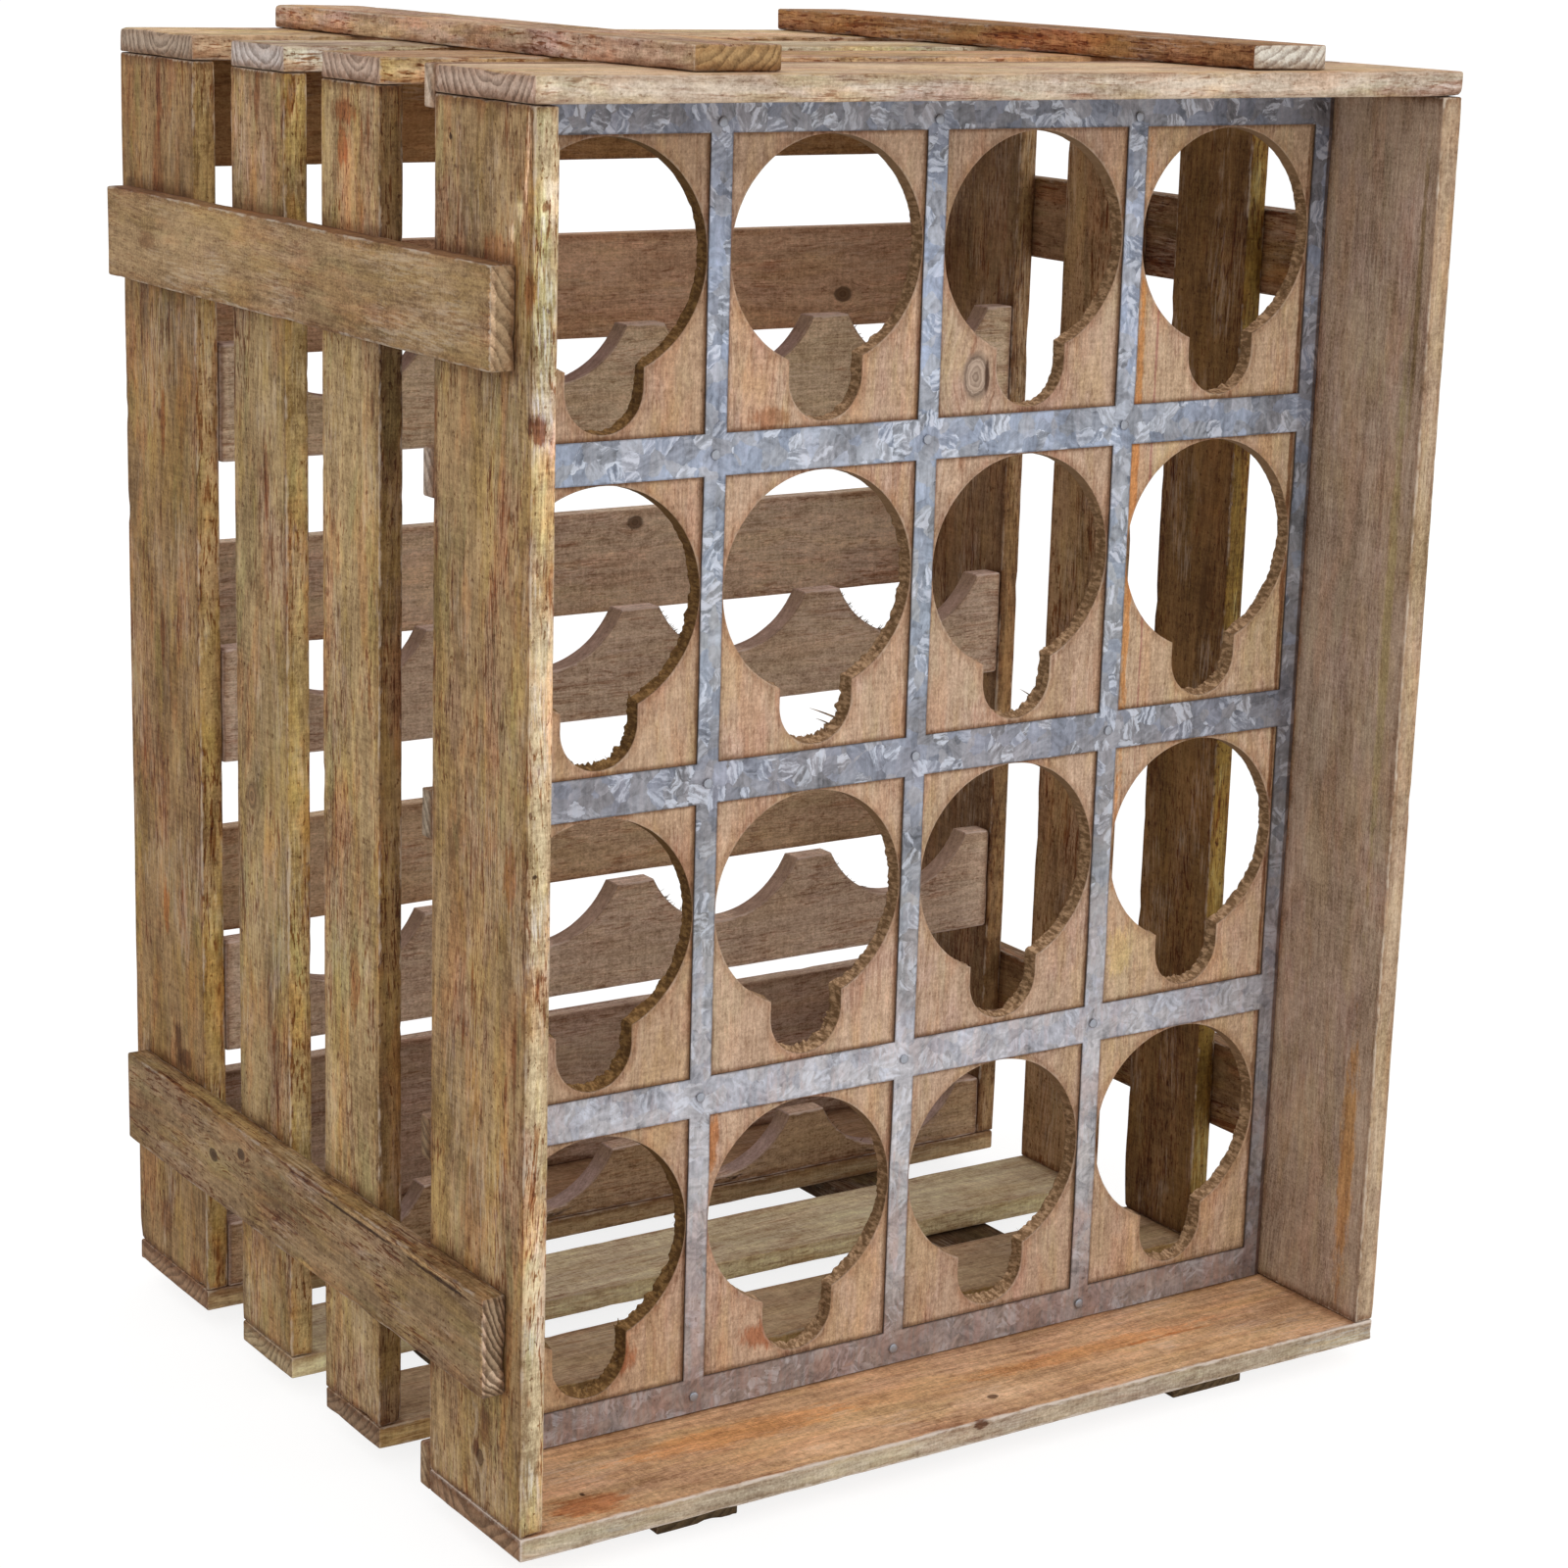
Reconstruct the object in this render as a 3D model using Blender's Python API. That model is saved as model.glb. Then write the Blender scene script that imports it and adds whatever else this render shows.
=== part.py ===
"""Wooden rack for sixteen bottles lying down, in four rows of four.

Four open hoops of thin slats stand one behind the other. Battens outside them and two feet tie
them together. Upright boards with keyholes close the front hoop behind a sheet metal grid, and
hold the bottle necks. Scalloped boards in the rear hoop carry the bottle bodies.

Units are metres. X runs to the right, Y to the rear and Z up. The origin is under the middle of
the rack, on the surface that it stands on.
"""

import math

import bmesh
import bpy

# Bottle pattern
COLUMNS = 4
ROWS = 4
HOLE_DIAMETER = 0.0978          # round part of a keyhole
NOTCH_WIDTH = 0.0386            # neck notch, round at its floor
NOTCH_DEPTH = 0.0247            # notch floor below the round hole's lowest point

# Sheet metal grid
WINDOW_SIDE_MARGIN = 0.0006     # board that shows beside the round hole
WINDOW_TOP_MARGIN = 0.0011      # board that shows above it
WINDOW_FLOOR_MARGIN = 0.0009    # board that shows below the notch
UPRIGHT_BAR = 0.0108
CROSS_BAR = 0.0181
LEFT_BAR = 0.0137
RIGHT_BAR = 0.0109
TOP_BAR = 0.0168
BOTTOM_BAR = 0.0170
SHEET_THICKNESS = 0.0007
SHEET_EDGE_GAP = 0.0006         # between the sheet and the slats round it

# Slats of the four hoops
SIDE_SLAT_THICKNESS = 0.0110
TOP_SLAT_THICKNESS = 0.0109
BOTTOM_SLAT_THICKNESS = 0.0103
WIDE_SLAT = 0.0800              # front and rear hoop
NARROW_SLAT = 0.0530            # the two hoops between them
FRONT_SPACE = 0.0475
MIDDLE_SPACE = 0.0355
REAR_SPACE = 0.0402

# Battens outside the hoops, and the feet
SIDE_BATTEN_THICKNESS = 0.0110
UPPER_BATTEN_WIDTH = 0.0410
LOWER_BATTEN_WIDTH = 0.0440
UPPER_BATTEN_DROP = 0.0716      # from the top slats' upper faces
LOWER_BATTEN_RISE = 0.0710      # from the bottom slats' lower faces
BATTEN_FRONT_SETBACK = 0.0130
UPPER_BATTEN_REAR_SETBACK = 0.0080
LOWER_BATTEN_REAR_SETBACK = 0.0140
TOP_BATTEN_THICKNESS = 0.0105
TOP_BATTEN_WIDTH = 0.0410
TOP_BATTEN_REAR_SETBACK = 0.0010
LEFT_TOP_BATTEN_INSET = 0.0780
RIGHT_TOP_BATTEN_INSET = 0.0710
FOOT_THICKNESS = 0.0110
FOOT_WIDTH = 0.0415
FOOT_REAR_SETBACK = 0.0100
LEFT_FOOT_INSET = 0.0750
RIGHT_FOOT_INSET = 0.0715

# Front boards and the rails behind them
BOARD_THICKNESS = 0.0072
BOARD_SEAM_GAP = 0.0004
BOARD_SEAM_OFFSET = 0.0032      # seams lie right of the middle of the upright bars
RAIL_THICKNESS = 0.0088
RAIL_HEIGHT = 0.0205
TOP_RAIL_HEIGHT = 0.0172
RAIL_DROP = 0.0010              # rail middle below the middle of its cross bar

# Scalloped supports in the rear hoop
SUPPORT_THICKNESS = 0.0120
SUPPORT_RISE = 0.0144           # peaks of the top row above the grid window's lower edge
SUPPORT_ROW_GAIN = 0.0005       # how much higher each row below sits in its window
SUPPORT_HEIGHT = 0.0543         # the lowest one stands on the bottom slat instead
SEAT_DEPTH = 0.0274             # depth of a round seat below the peaks

# Boards across the rear
BACK_THICKNESS = 0.0107
BACK_HEIGHT = 0.0525
BACK_DROP = 0.0013              # lower edge below the grid window's lower edge
LOWEST_BACK_HEIGHT = 0.0842     # lowest board, which stands on the bottom slat

# Tacks that hold the grid
TACK_HEAD_DIAMETER = 0.0045
TACK_HEAD_HEIGHT = 0.0009
TACK_SHANK_DIAMETER = 0.0014
TACK_LENGTH = 0.0075
TACK_POINT_LENGTH = 0.0015
TACK_HOLE_CLEARANCE = 0.0003
TOP_TACK_DROP = 0.0040          # tacks of the top bar below the bar's middle

SEAT_GAP = 0.0003               # between pieces that lie against each other
EDGE_EASING = 0.0006            # worn arris of the sawn pieces

HOLE_STEPS = 36
NOTCH_STEPS = 10
SEAT_STEPS = 16
TACK_SIDES = 8

# Sizes that follow from them
HOLE_RADIUS = HOLE_DIAMETER / 2
NOTCH_RADIUS = NOTCH_WIDTH / 2
WINDOW_WIDTH = HOLE_DIAMETER + 2 * WINDOW_SIDE_MARGIN
WINDOW_HEIGHT = WINDOW_TOP_MARGIN + HOLE_DIAMETER + NOTCH_DEPTH + WINDOW_FLOOR_MARGIN
COLUMN_PITCH = WINDOW_WIDTH + UPRIGHT_BAR
ROW_PITCH = WINDOW_HEIGHT + CROSS_BAR
INNER_WIDTH = LEFT_BAR + COLUMNS * WINDOW_WIDTH + (COLUMNS - 1) * UPRIGHT_BAR + RIGHT_BAR
INNER_HEIGHT = TOP_BAR + ROWS * WINDOW_HEIGHT + (ROWS - 1) * CROSS_BAR + BOTTOM_BAR
CASE_DEPTH = 2 * WIDE_SLAT + 2 * NARROW_SLAT + FRONT_SPACE + MIDDLE_SPACE + REAR_SPACE

# Planes of the case
LEFT = -INNER_WIDTH / 2 - SIDE_SLAT_THICKNESS
RIGHT = -LEFT
FRONT = -CASE_DEPTH / 2
REAR = CASE_DEPTH / 2
BOTTOM = FOOT_THICKNESS + SEAT_GAP
INNER_LEFT = LEFT + SIDE_SLAT_THICKNESS
INNER_RIGHT = RIGHT - SIDE_SLAT_THICKNESS
INNER_BOTTOM = BOTTOM + BOTTOM_SLAT_THICKNESS
INNER_TOP = INNER_BOTTOM + INNER_HEIGHT
TOP = INNER_TOP + TOP_SLAT_THICKNESS
PANEL_REAR = FRONT + WIDE_SLAT
BOARD_FRONT = PANEL_REAR - BOARD_THICKNESS
SHEET_FRONT = BOARD_FRONT - SEAT_GAP - SHEET_THICKNESS
REAR_HOOP_FRONT = REAR - WIDE_SLAT

# Colours of the woods and metals
PALE_WOOD = (0.46, 0.32, 0.19)
GREY_WOOD = (0.36, 0.27, 0.18)
PINK_WOOD = (0.44, 0.28, 0.18)
BROWN_WOOD = (0.20, 0.12, 0.075)
ZINC = (0.36, 0.39, 0.46)
STEEL = (0.30, 0.31, 0.33)


def clear_scene():
    """Remove whatever objects the file holds."""
    for old in list(bpy.data.objects):
        bpy.data.objects.remove(old, do_unlink=True)


def finish(name, colour, roughness, metallic):
    """A plain material of one colour."""
    material = bpy.data.materials.new(name)
    material.use_nodes = True
    shader = material.node_tree.nodes["Principled BSDF"]
    shader.inputs["Base Color"].default_value = (*colour, 1.0)
    shader.inputs["Roughness"].default_value = roughness
    shader.inputs["Metallic"].default_value = metallic
    return material


def place(name, mesh, location, colour, roughness=0.75, metallic=0.0):
    """Put a mesh in the scene as one named piece with its own material."""
    mesh.materials.append(finish(name, colour, roughness, metallic))
    piece = bpy.data.objects.new(name, mesh)
    piece.location = location
    bpy.context.scene.collection.objects.link(piece)
    return piece


def plank(name, x_span, y_span, z_span, colour):
    """A sawn piece of wood between three pairs of planes, with eased edges."""
    spans = (x_span, y_span, z_span)
    size = [high - low for low, high in spans]
    centre = [(low + high) / 2 for low, high in spans]
    mesh = bpy.data.meshes.new(name)
    shape = bmesh.new()
    bmesh.ops.create_cube(shape, size=1)
    bmesh.ops.scale(shape, vec=size, verts=shape.verts)
    shape.to_mesh(mesh)
    shape.free()
    piece = place(name, mesh, centre, colour)
    easing = piece.modifiers.new("eased_edges", "BEVEL")
    easing.width = EDGE_EASING
    easing.segments = 1
    easing.limit_method = "NONE"
    return piece


def plate(name, outline, holes, front, thickness, colour, roughness=0.75, metallic=0.0):
    """A flat upright piece cut to an outline of X and Z points, with holes right through it."""
    xs = [x for x, z in outline]
    zs = [z for x, z in outline]
    centre = ((min(xs) + max(xs)) / 2, front, (min(zs) + max(zs)) / 2)
    shape = bmesh.new()
    for loop in [outline, *holes]:
        corners = [shape.verts.new((x - centre[0], 0, z - centre[2])) for x, z in loop]
        for first, second in zip(corners, corners[1:] + corners[:1]):
            shape.edges.new((first, second))
    bmesh.ops.triangle_fill(shape, use_beauty=True, edges=list(shape.edges))
    raised = bmesh.ops.extrude_face_region(shape, geom=list(shape.faces), use_keep_orig=True)
    moved = [item for item in raised["geom"] if isinstance(item, bmesh.types.BMVert)]
    bmesh.ops.translate(shape, vec=(0, thickness, 0), verts=moved)
    bmesh.ops.recalc_face_normals(shape, faces=list(shape.faces))
    mesh = bpy.data.meshes.new(name)
    shape.to_mesh(mesh)
    shape.free()
    return place(name, mesh, centre, colour, roughness, metallic)


def arc(centre_x, centre_z, radius, start, end, steps):
    """Points along an arc, both ends included."""
    points = []
    for step in range(steps + 1):
        angle = start + (end - start) * step / steps
        points.append((centre_x + radius * math.cos(angle), centre_z + radius * math.sin(angle)))
    return points


def rectangle(left, right, low, high):
    """Corner points of an upright rectangle."""
    return [(left, low), (right, low), (right, high), (left, high)]


def column_middle(column):
    """X of the middle of a column of bottles, counted from the left."""
    return INNER_LEFT + LEFT_BAR + WINDOW_WIDTH / 2 + column * COLUMN_PITCH


def bar_middle(bar):
    """X of the middle of the upright bar to the right of a column."""
    return column_middle(bar) + COLUMN_PITCH / 2


def window_top(row):
    """Z of the upper edge of a row's windows, counted from the top."""
    return INNER_TOP - TOP_BAR - row * ROW_PITCH


def window_floor(row):
    """Z of the lower edge of a row's windows."""
    return window_top(row) - WINDOW_HEIGHT


def cross_bar_middle(level):
    """Z of the middle of a cross bar: 0 is the top bar and ROWS the bottom bar."""
    if level == 0:
        return INNER_TOP - TOP_BAR / 2
    if level == ROWS:
        return INNER_BOTTOM + BOTTOM_BAR / 2
    return window_floor(level - 1) - CROSS_BAR / 2


def tack_place(bar, level):
    """X and Z of the tack where an upright bar meets a cross bar."""
    drop = TOP_TACK_DROP if level == 0 else 0
    return bar_middle(bar), cross_bar_middle(level) - drop


def tack_hole(bar, level):
    """Outline of the hole that a tack's shank goes through."""
    x, z = tack_place(bar, level)
    radius = TACK_SHANK_DIAMETER / 2 + TACK_HOLE_CLEARANCE
    return arc(x, z, radius, 0, 2 * math.pi, TACK_SIDES)[:-1]


def make_hoops():
    """Left, right, top and bottom slat of each of the four hoops."""
    second = FRONT + WIDE_SLAT + FRONT_SPACE
    third = second + NARROW_SLAT + MIDDLE_SPACE
    hoops = {
        "front": (FRONT, FRONT + WIDE_SLAT),
        "second": (second, second + NARROW_SLAT),
        "third": (third, third + NARROW_SLAT),
        "rear": (REAR_HOOP_FRONT, REAR),
    }
    upright = (INNER_BOTTOM + SEAT_GAP, INNER_TOP - SEAT_GAP)
    for hoop, depth in hoops.items():
        plank(f"left_slat_{hoop}", (LEFT, INNER_LEFT), depth, upright, PALE_WOOD)
        plank(f"right_slat_{hoop}", (INNER_RIGHT, RIGHT), depth, upright, GREY_WOOD)
        plank(f"top_slat_{hoop}", (LEFT, RIGHT), depth, (INNER_TOP, TOP), PALE_WOOD)
        plank(f"bottom_slat_{hoop}", (LEFT, RIGHT), depth, (BOTTOM, INNER_BOTTOM), PALE_WOOD)


def make_battens():
    """Battens on both sides and on the top, and the two feet."""
    start = FRONT + BATTEN_FRONT_SETBACK
    upper_top = TOP - UPPER_BATTEN_DROP
    upper = (upper_top - UPPER_BATTEN_WIDTH, upper_top)
    lower_floor = BOTTOM + LOWER_BATTEN_RISE
    lower = (lower_floor, lower_floor + LOWER_BATTEN_WIDTH)
    outer_left = LEFT - SEAT_GAP
    outer_right = RIGHT + SEAT_GAP
    sides = {
        "left": (outer_left - SIDE_BATTEN_THICKNESS, outer_left),
        "right": (outer_right, outer_right + SIDE_BATTEN_THICKNESS),
    }
    for side, span in sides.items():
        upper_depth = (start, REAR - UPPER_BATTEN_REAR_SETBACK)
        lower_depth = (start, REAR - LOWER_BATTEN_REAR_SETBACK)
        plank(f"{side}_upper_batten", span, upper_depth, upper, PALE_WOOD)
        plank(f"{side}_lower_batten", span, lower_depth, lower, PALE_WOOD)

    top_depth = (start, REAR - TOP_BATTEN_REAR_SETBACK)
    top_floor = TOP + SEAT_GAP
    on_top = (top_floor, top_floor + TOP_BATTEN_THICKNESS)
    left_edge = LEFT + LEFT_TOP_BATTEN_INSET
    right_edge = RIGHT - RIGHT_TOP_BATTEN_INSET
    plank("left_top_batten", (left_edge, left_edge + TOP_BATTEN_WIDTH), top_depth, on_top, GREY_WOOD)
    plank("right_top_batten", (right_edge - TOP_BATTEN_WIDTH, right_edge), top_depth, on_top, GREY_WOOD)

    foot_depth = (start, REAR - FOOT_REAR_SETBACK)
    foot_edge = LEFT + LEFT_FOOT_INSET
    far_edge = RIGHT - RIGHT_FOOT_INSET
    plank("left_foot", (foot_edge, foot_edge + FOOT_WIDTH), foot_depth, (0, FOOT_THICKNESS), GREY_WOOD)
    plank("right_foot", (far_edge - FOOT_WIDTH, far_edge), foot_depth, (0, FOOT_THICKNESS), GREY_WOOD)


def make_rails():
    """Rails from side to side behind the front hoop, one behind each cross bar."""
    rail_front = PANEL_REAR + SEAT_GAP
    depth = (rail_front, rail_front + RAIL_THICKNESS)
    for level in range(ROWS + 1):
        if level == 0:
            span = (TOP - TOP_RAIL_HEIGHT, TOP)
        elif level == ROWS:
            span = (BOTTOM, BOTTOM + RAIL_HEIGHT)
        else:
            middle = cross_bar_middle(level) - RAIL_DROP
            span = (middle - RAIL_HEIGHT / 2, middle + RAIL_HEIGHT / 2)
        plank(f"panel_rail_{level + 1}", (LEFT, RIGHT), depth, span, GREY_WOOD)


def keyhole(column, row):
    """Outline of a bottle hole: a round hole that opens into the neck notch below it."""
    middle = column_middle(column)
    hole_z = window_top(row) - WINDOW_TOP_MARGIN - HOLE_RADIUS
    notch_z = hole_z - HOLE_RADIUS - NOTCH_DEPTH + NOTCH_RADIUS
    mouth = math.asin(NOTCH_RADIUS / HOLE_RADIUS)
    down = 1.5 * math.pi
    round_part = arc(middle, hole_z, HOLE_RADIUS, down + mouth - 2 * math.pi, down - mouth, HOLE_STEPS)
    notch_part = arc(middle, notch_z, NOTCH_RADIUS, math.pi, 2 * math.pi, NOTCH_STEPS)
    return round_part + notch_part


def make_front_boards():
    """One upright board for each column, with its keyholes and the holes for its tacks."""
    for column in range(COLUMNS):
        left = INNER_LEFT + SEAT_GAP
        if column > 0:
            left = bar_middle(column - 1) + BOARD_SEAM_OFFSET + BOARD_SEAM_GAP
        right = INNER_RIGHT - SEAT_GAP
        holes = [keyhole(column, row) for row in range(ROWS)]
        if column < COLUMNS - 1:
            right = bar_middle(column) + BOARD_SEAM_OFFSET
            holes += [tack_hole(column, level) for level in range(ROWS + 1)]
        outline = rectangle(left, right, INNER_BOTTOM + SEAT_GAP, INNER_TOP - SEAT_GAP)
        plate(f"front_board_{column + 1}", outline, holes, BOARD_FRONT, BOARD_THICKNESS, PINK_WOOD)


def make_grid():
    """The sheet metal grid: one sheet with a window over each keyhole."""
    outline = rectangle(
        INNER_LEFT + SHEET_EDGE_GAP,
        INNER_RIGHT - SHEET_EDGE_GAP,
        INNER_BOTTOM + SHEET_EDGE_GAP,
        INNER_TOP - SHEET_EDGE_GAP,
    )
    openings = []
    for row in range(ROWS):
        for column in range(COLUMNS):
            left = column_middle(column) - WINDOW_WIDTH / 2
            openings.append(rectangle(left, left + WINDOW_WIDTH, window_floor(row), window_top(row)))
    for bar in range(COLUMNS - 1):
        openings += [tack_hole(bar, level) for level in range(ROWS + 1)]
    plate("face_grid", outline, openings, SHEET_FRONT, SHEET_THICKNESS, ZINC, 0.45, 0.6)


def make_tack(name, x, z):
    """A tack driven straight back: a low round head, a shank and a point."""
    head_radius = TACK_HEAD_DIAMETER / 2
    shank_radius = TACK_SHANK_DIAMETER / 2
    point_start = TACK_LENGTH - TACK_POINT_LENGTH
    profile = [(head_radius, 0), (shank_radius, 0), (shank_radius, point_start)]
    shape = bmesh.new()
    crown = shape.verts.new((0, -TACK_HEAD_HEIGHT, 0))
    tip = shape.verts.new((0, TACK_LENGTH, 0))
    rings = []
    for radius, depth in profile:
        circle = arc(0, 0, radius, 0, 2 * math.pi, TACK_SIDES)[:-1]
        rings.append([shape.verts.new((px, depth, pz)) for px, pz in circle])
    for index in range(TACK_SIDES):
        following = (index + 1) % TACK_SIDES
        shape.faces.new((crown, rings[0][index], rings[0][following]))
        shape.faces.new((tip, rings[-1][following], rings[-1][index]))
        for near, far in zip(rings, rings[1:]):
            shape.faces.new((near[index], far[index], far[following], near[following]))
    bmesh.ops.recalc_face_normals(shape, faces=list(shape.faces))
    mesh = bpy.data.meshes.new(name)
    shape.to_mesh(mesh)
    shape.free()
    return place(name, mesh, (x, SHEET_FRONT - SEAT_GAP, z), STEEL, 0.5, 0.8)


def make_tacks():
    """Tacks at every meeting of an upright bar with a cross bar."""
    for bar in range(COLUMNS - 1):
        for level in range(ROWS + 1):
            x, z = tack_place(bar, level)
            make_tack(f"grid_tack_{bar + 1}_{level + 1}", x, z)


def support_top(row):
    """Z of a support's peaks."""
    return window_floor(row) + SUPPORT_RISE + row * SUPPORT_ROW_GAIN


def support_outline(low, high):
    """Outline of a scalloped board: a straight lower edge and a round seat for each column."""
    left = INNER_LEFT + SEAT_GAP
    right = INNER_RIGHT - SEAT_GAP
    rise = HOLE_RADIUS - SEAT_DEPTH
    half_sweep = math.acos(rise / HOLE_RADIUS)
    down = 1.5 * math.pi
    points = [(left, low), (right, low), (right, high)]
    for column in reversed(range(COLUMNS)):
        seat = (column_middle(column), high + rise, HOLE_RADIUS)
        points += arc(*seat, down + half_sweep, down - half_sweep, SEAT_STEPS)
    points.append((left, high))
    return points


def make_supports():
    """Scalloped boards across the front of the rear hoop, one for each row."""
    for row in range(ROWS):
        high = support_top(row)
        low = high - SUPPORT_HEIGHT
        if row == ROWS - 1:
            low = INNER_BOTTOM + SEAT_GAP
        outline = support_outline(low, high)
        name = f"bottle_support_{row + 1}"
        plate(name, outline, [], REAR_HOOP_FRONT, SUPPORT_THICKNESS, BROWN_WOOD)


def make_back_boards():
    """Plain boards between the rear side slats: one under the top slat, the others by the rows."""
    span = (INNER_LEFT + SEAT_GAP, INNER_RIGHT - SEAT_GAP)
    depth = (REAR - BACK_THICKNESS, REAR)
    floors = [INNER_TOP - SEAT_GAP - BACK_HEIGHT]
    floors += [window_floor(row) - BACK_DROP for row in range(ROWS - 1)]
    for index, floor in enumerate(floors):
        plank(f"back_board_{index + 1}", span, depth, (floor, floor + BACK_HEIGHT), BROWN_WOOD)
    floor = INNER_BOTTOM + SEAT_GAP
    plank(f"back_board_{ROWS + 1}", span, depth, (floor, floor + LOWEST_BACK_HEIGHT), BROWN_WOOD)


def main():
    clear_scene()
    make_hoops()
    make_battens()
    make_rails()
    make_front_boards()
    make_grid()
    make_tacks()
    make_supports()
    make_back_boards()


main()
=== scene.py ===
"""Looks of a weathered wooden rack for sixteen bottles with a galvanised sheet metal grid.

Every board is rebuilt as a fine mesh in the place of its CAD piece, with worn edges and torn
cuts, and the finishes are made of nodes. Units are metres, X to the right, Y to the rear.
"""

import math

import bpy
import numpy as np
from mathutils import Matrix, Vector


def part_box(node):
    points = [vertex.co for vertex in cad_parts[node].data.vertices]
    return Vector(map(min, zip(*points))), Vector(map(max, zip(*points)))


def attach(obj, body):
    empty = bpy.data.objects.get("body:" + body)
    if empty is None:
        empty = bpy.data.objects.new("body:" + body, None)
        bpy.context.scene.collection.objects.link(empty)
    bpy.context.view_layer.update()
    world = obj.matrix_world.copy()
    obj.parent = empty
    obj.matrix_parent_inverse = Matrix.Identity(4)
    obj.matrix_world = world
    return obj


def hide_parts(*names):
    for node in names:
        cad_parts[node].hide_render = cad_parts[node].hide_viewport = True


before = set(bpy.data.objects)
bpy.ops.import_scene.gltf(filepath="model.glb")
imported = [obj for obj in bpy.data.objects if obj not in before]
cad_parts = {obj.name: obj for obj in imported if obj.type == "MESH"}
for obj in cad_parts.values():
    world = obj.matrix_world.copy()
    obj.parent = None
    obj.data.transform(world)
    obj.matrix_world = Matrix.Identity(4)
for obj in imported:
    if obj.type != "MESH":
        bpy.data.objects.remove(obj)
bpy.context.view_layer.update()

# Bottle pattern, as in the CAD model
COLUMN_MIDDLES = (-0.1633, -0.0535, 0.0563, 0.1661)
WINDOW_TOPS = (0.5909, 0.4483, 0.3057, 0.1631)
WINDOW_WIDTH = 0.0990
WINDOW_HEIGHT = 0.1245
WINDOW_PITCH = 0.1426
SEAT_RADIUS = 0.0489
SEAT_DEPTH = 0.0274
MM = 0.001
FULL_TURN = 6.283
THIRD_TURN = 2.094
WOOD_ROUGHNESS = 0.82
STEEL = (0.36, 0.38, 0.43)

# The saw left the holes slightly off their plan
HOLE_RADIUS = 0.0491
HOLE_SHIFT = 0.0007
HOLE_DROP = 0.0500              # hole centre below the window's upper edge
NOTCH_RADIUS = 0.0189
NOTCH_SHIFT = 0.0012
NOTCH_DROP = 0.0535             # centre of the notch's round floor below the hole's centre
TEARS = (                       # how far each hole is torn at the rear in mm, row by row
    (0.9, 1.0, 1.0, 0.9),
    (1.6, 1.8, 1.2, 1.1),
    (1.2, 1.7, 1.2, 1.0),
    (1.9, 1.3, 1.4, 1.2),
)
# Single splinters by (row, column): start and direction from the hole's centre, and radius, in mm
SPLINTERS = {
    (1, 1): (((16.5, -63.5), (-14.0, 6.5), 0.55), ((14.0, -66.5), (-8.0, 4.5), 0.45)),
    (1, 0): (((20.5, -48.0), (-1.2, 8.0), 1.0),),
    (3, 0): (((20.5, -49.0), (-0.8, 9.0), 1.3), ((19.5, -47.0), (-2.5, 5.0), 0.5)),
    (1, 2): (((15.5, -65.0), (-7.0, 5.0), 0.4),),
    (2, 1): (((17.5, -62.5), (-6.0, 5.0), 0.5),),
    (3, 2): (((16.0, -65.0), (-6.0, 3.0), 0.45),),
}

# Steps of the fine meshes
EDGE_STEPS = np.array([0, 0.45, 1.0, 2.0, 4.0]) * MM
FINE = 4 * MM
COARSE = 8 * MM

X, Y, Z = Vector((1, 0, 0)), Vector((0, 1, 0)), Vector((0, 0, 1))
SIDES = {"left": -X, "right": X, "front": -Y, "rear": Y, "up": Z, "down": -Z}


# Noise for the meshes

def hashed(ix, iy, iz, seed):
    """A repeatable number from 0 to 1 for each point of a lattice."""
    n = (ix * 374761393 + iy * 668265263 + iz * 1440670441 + seed * 362437) & 0xFFFFFFFF
    n = ((n ^ (n >> 13)) * 1274126177) & 0xFFFFFFFF
    return ((n ^ (n >> 16)) & 0xFFFFFF) / 0xFFFFFF


def noise(points, size, seed):
    """Smooth noise from -1 to 1 with features of the given size along each axis."""
    scaled = np.asarray(points, float) / np.asarray(size, float)
    base = np.floor(scaled).astype(np.int64)
    part = scaled - base
    part = part * part * (3 - 2 * part)
    total = np.zeros(len(scaled))
    for corner in range(8):
        step = np.array([corner & 1, corner >> 1 & 1, corner >> 2 & 1])
        weight = np.prod(np.where(step, part, 1 - part), axis=1)
        total += weight * hashed(*(base + step).T, seed)
    return 2 * total - 1


def ease(value, low, high):
    """Smooth step from 0 at low to 1 at high."""
    part = np.clip((value - low) / (high - low), 0, 1)
    return part * part * (3 - 2 * part)


# Pieces from arrays of points

def make_piece(name, points, faces, axes, centre, material, values):
    """A mesh object from points in the shared frame, stored along its own grain axes."""
    turn = Matrix(axes).transposed()
    local = (np.asarray(points) - np.asarray(centre)) @ np.array(turn)
    mesh = bpy.data.meshes.new(name)
    mesh.from_pydata(local.tolist(), [], [list(face) for face in faces])
    for key, level in (("arris", 50.0), ("contact", 50.0), ("wall", 0.0), ("torn", 0.0)):
        values.setdefault(key, np.full(len(points), level))
    for key, numbers in values.items():
        attribute = mesh.attributes.new(key, "FLOAT", "POINT")
        attribute.data.foreach_set("value", np.asarray(numbers, np.float32))
    mesh.shade_smooth()
    mesh.materials.append(material)
    piece = bpy.data.objects.new(name, mesh)
    piece.matrix_world = Matrix.Translation(centre) @ turn.to_4x4()
    bpy.context.scene.collection.objects.link(piece)
    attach(piece, "root")
    return piece


def places(length, spacing):
    """Places along one side of a board from -length/2 to length/2, closer near both ends."""
    half = length / 2
    near = EDGE_STEPS[EDGE_STEPS < half * 0.8]
    inner = half - near[-1]
    count = max(1, round(2 * inner / spacing))
    middle = np.linspace(-inner, inner, count + 1)[1:-1]
    return np.concatenate([-half + near, middle, half - near[::-1]])


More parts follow.
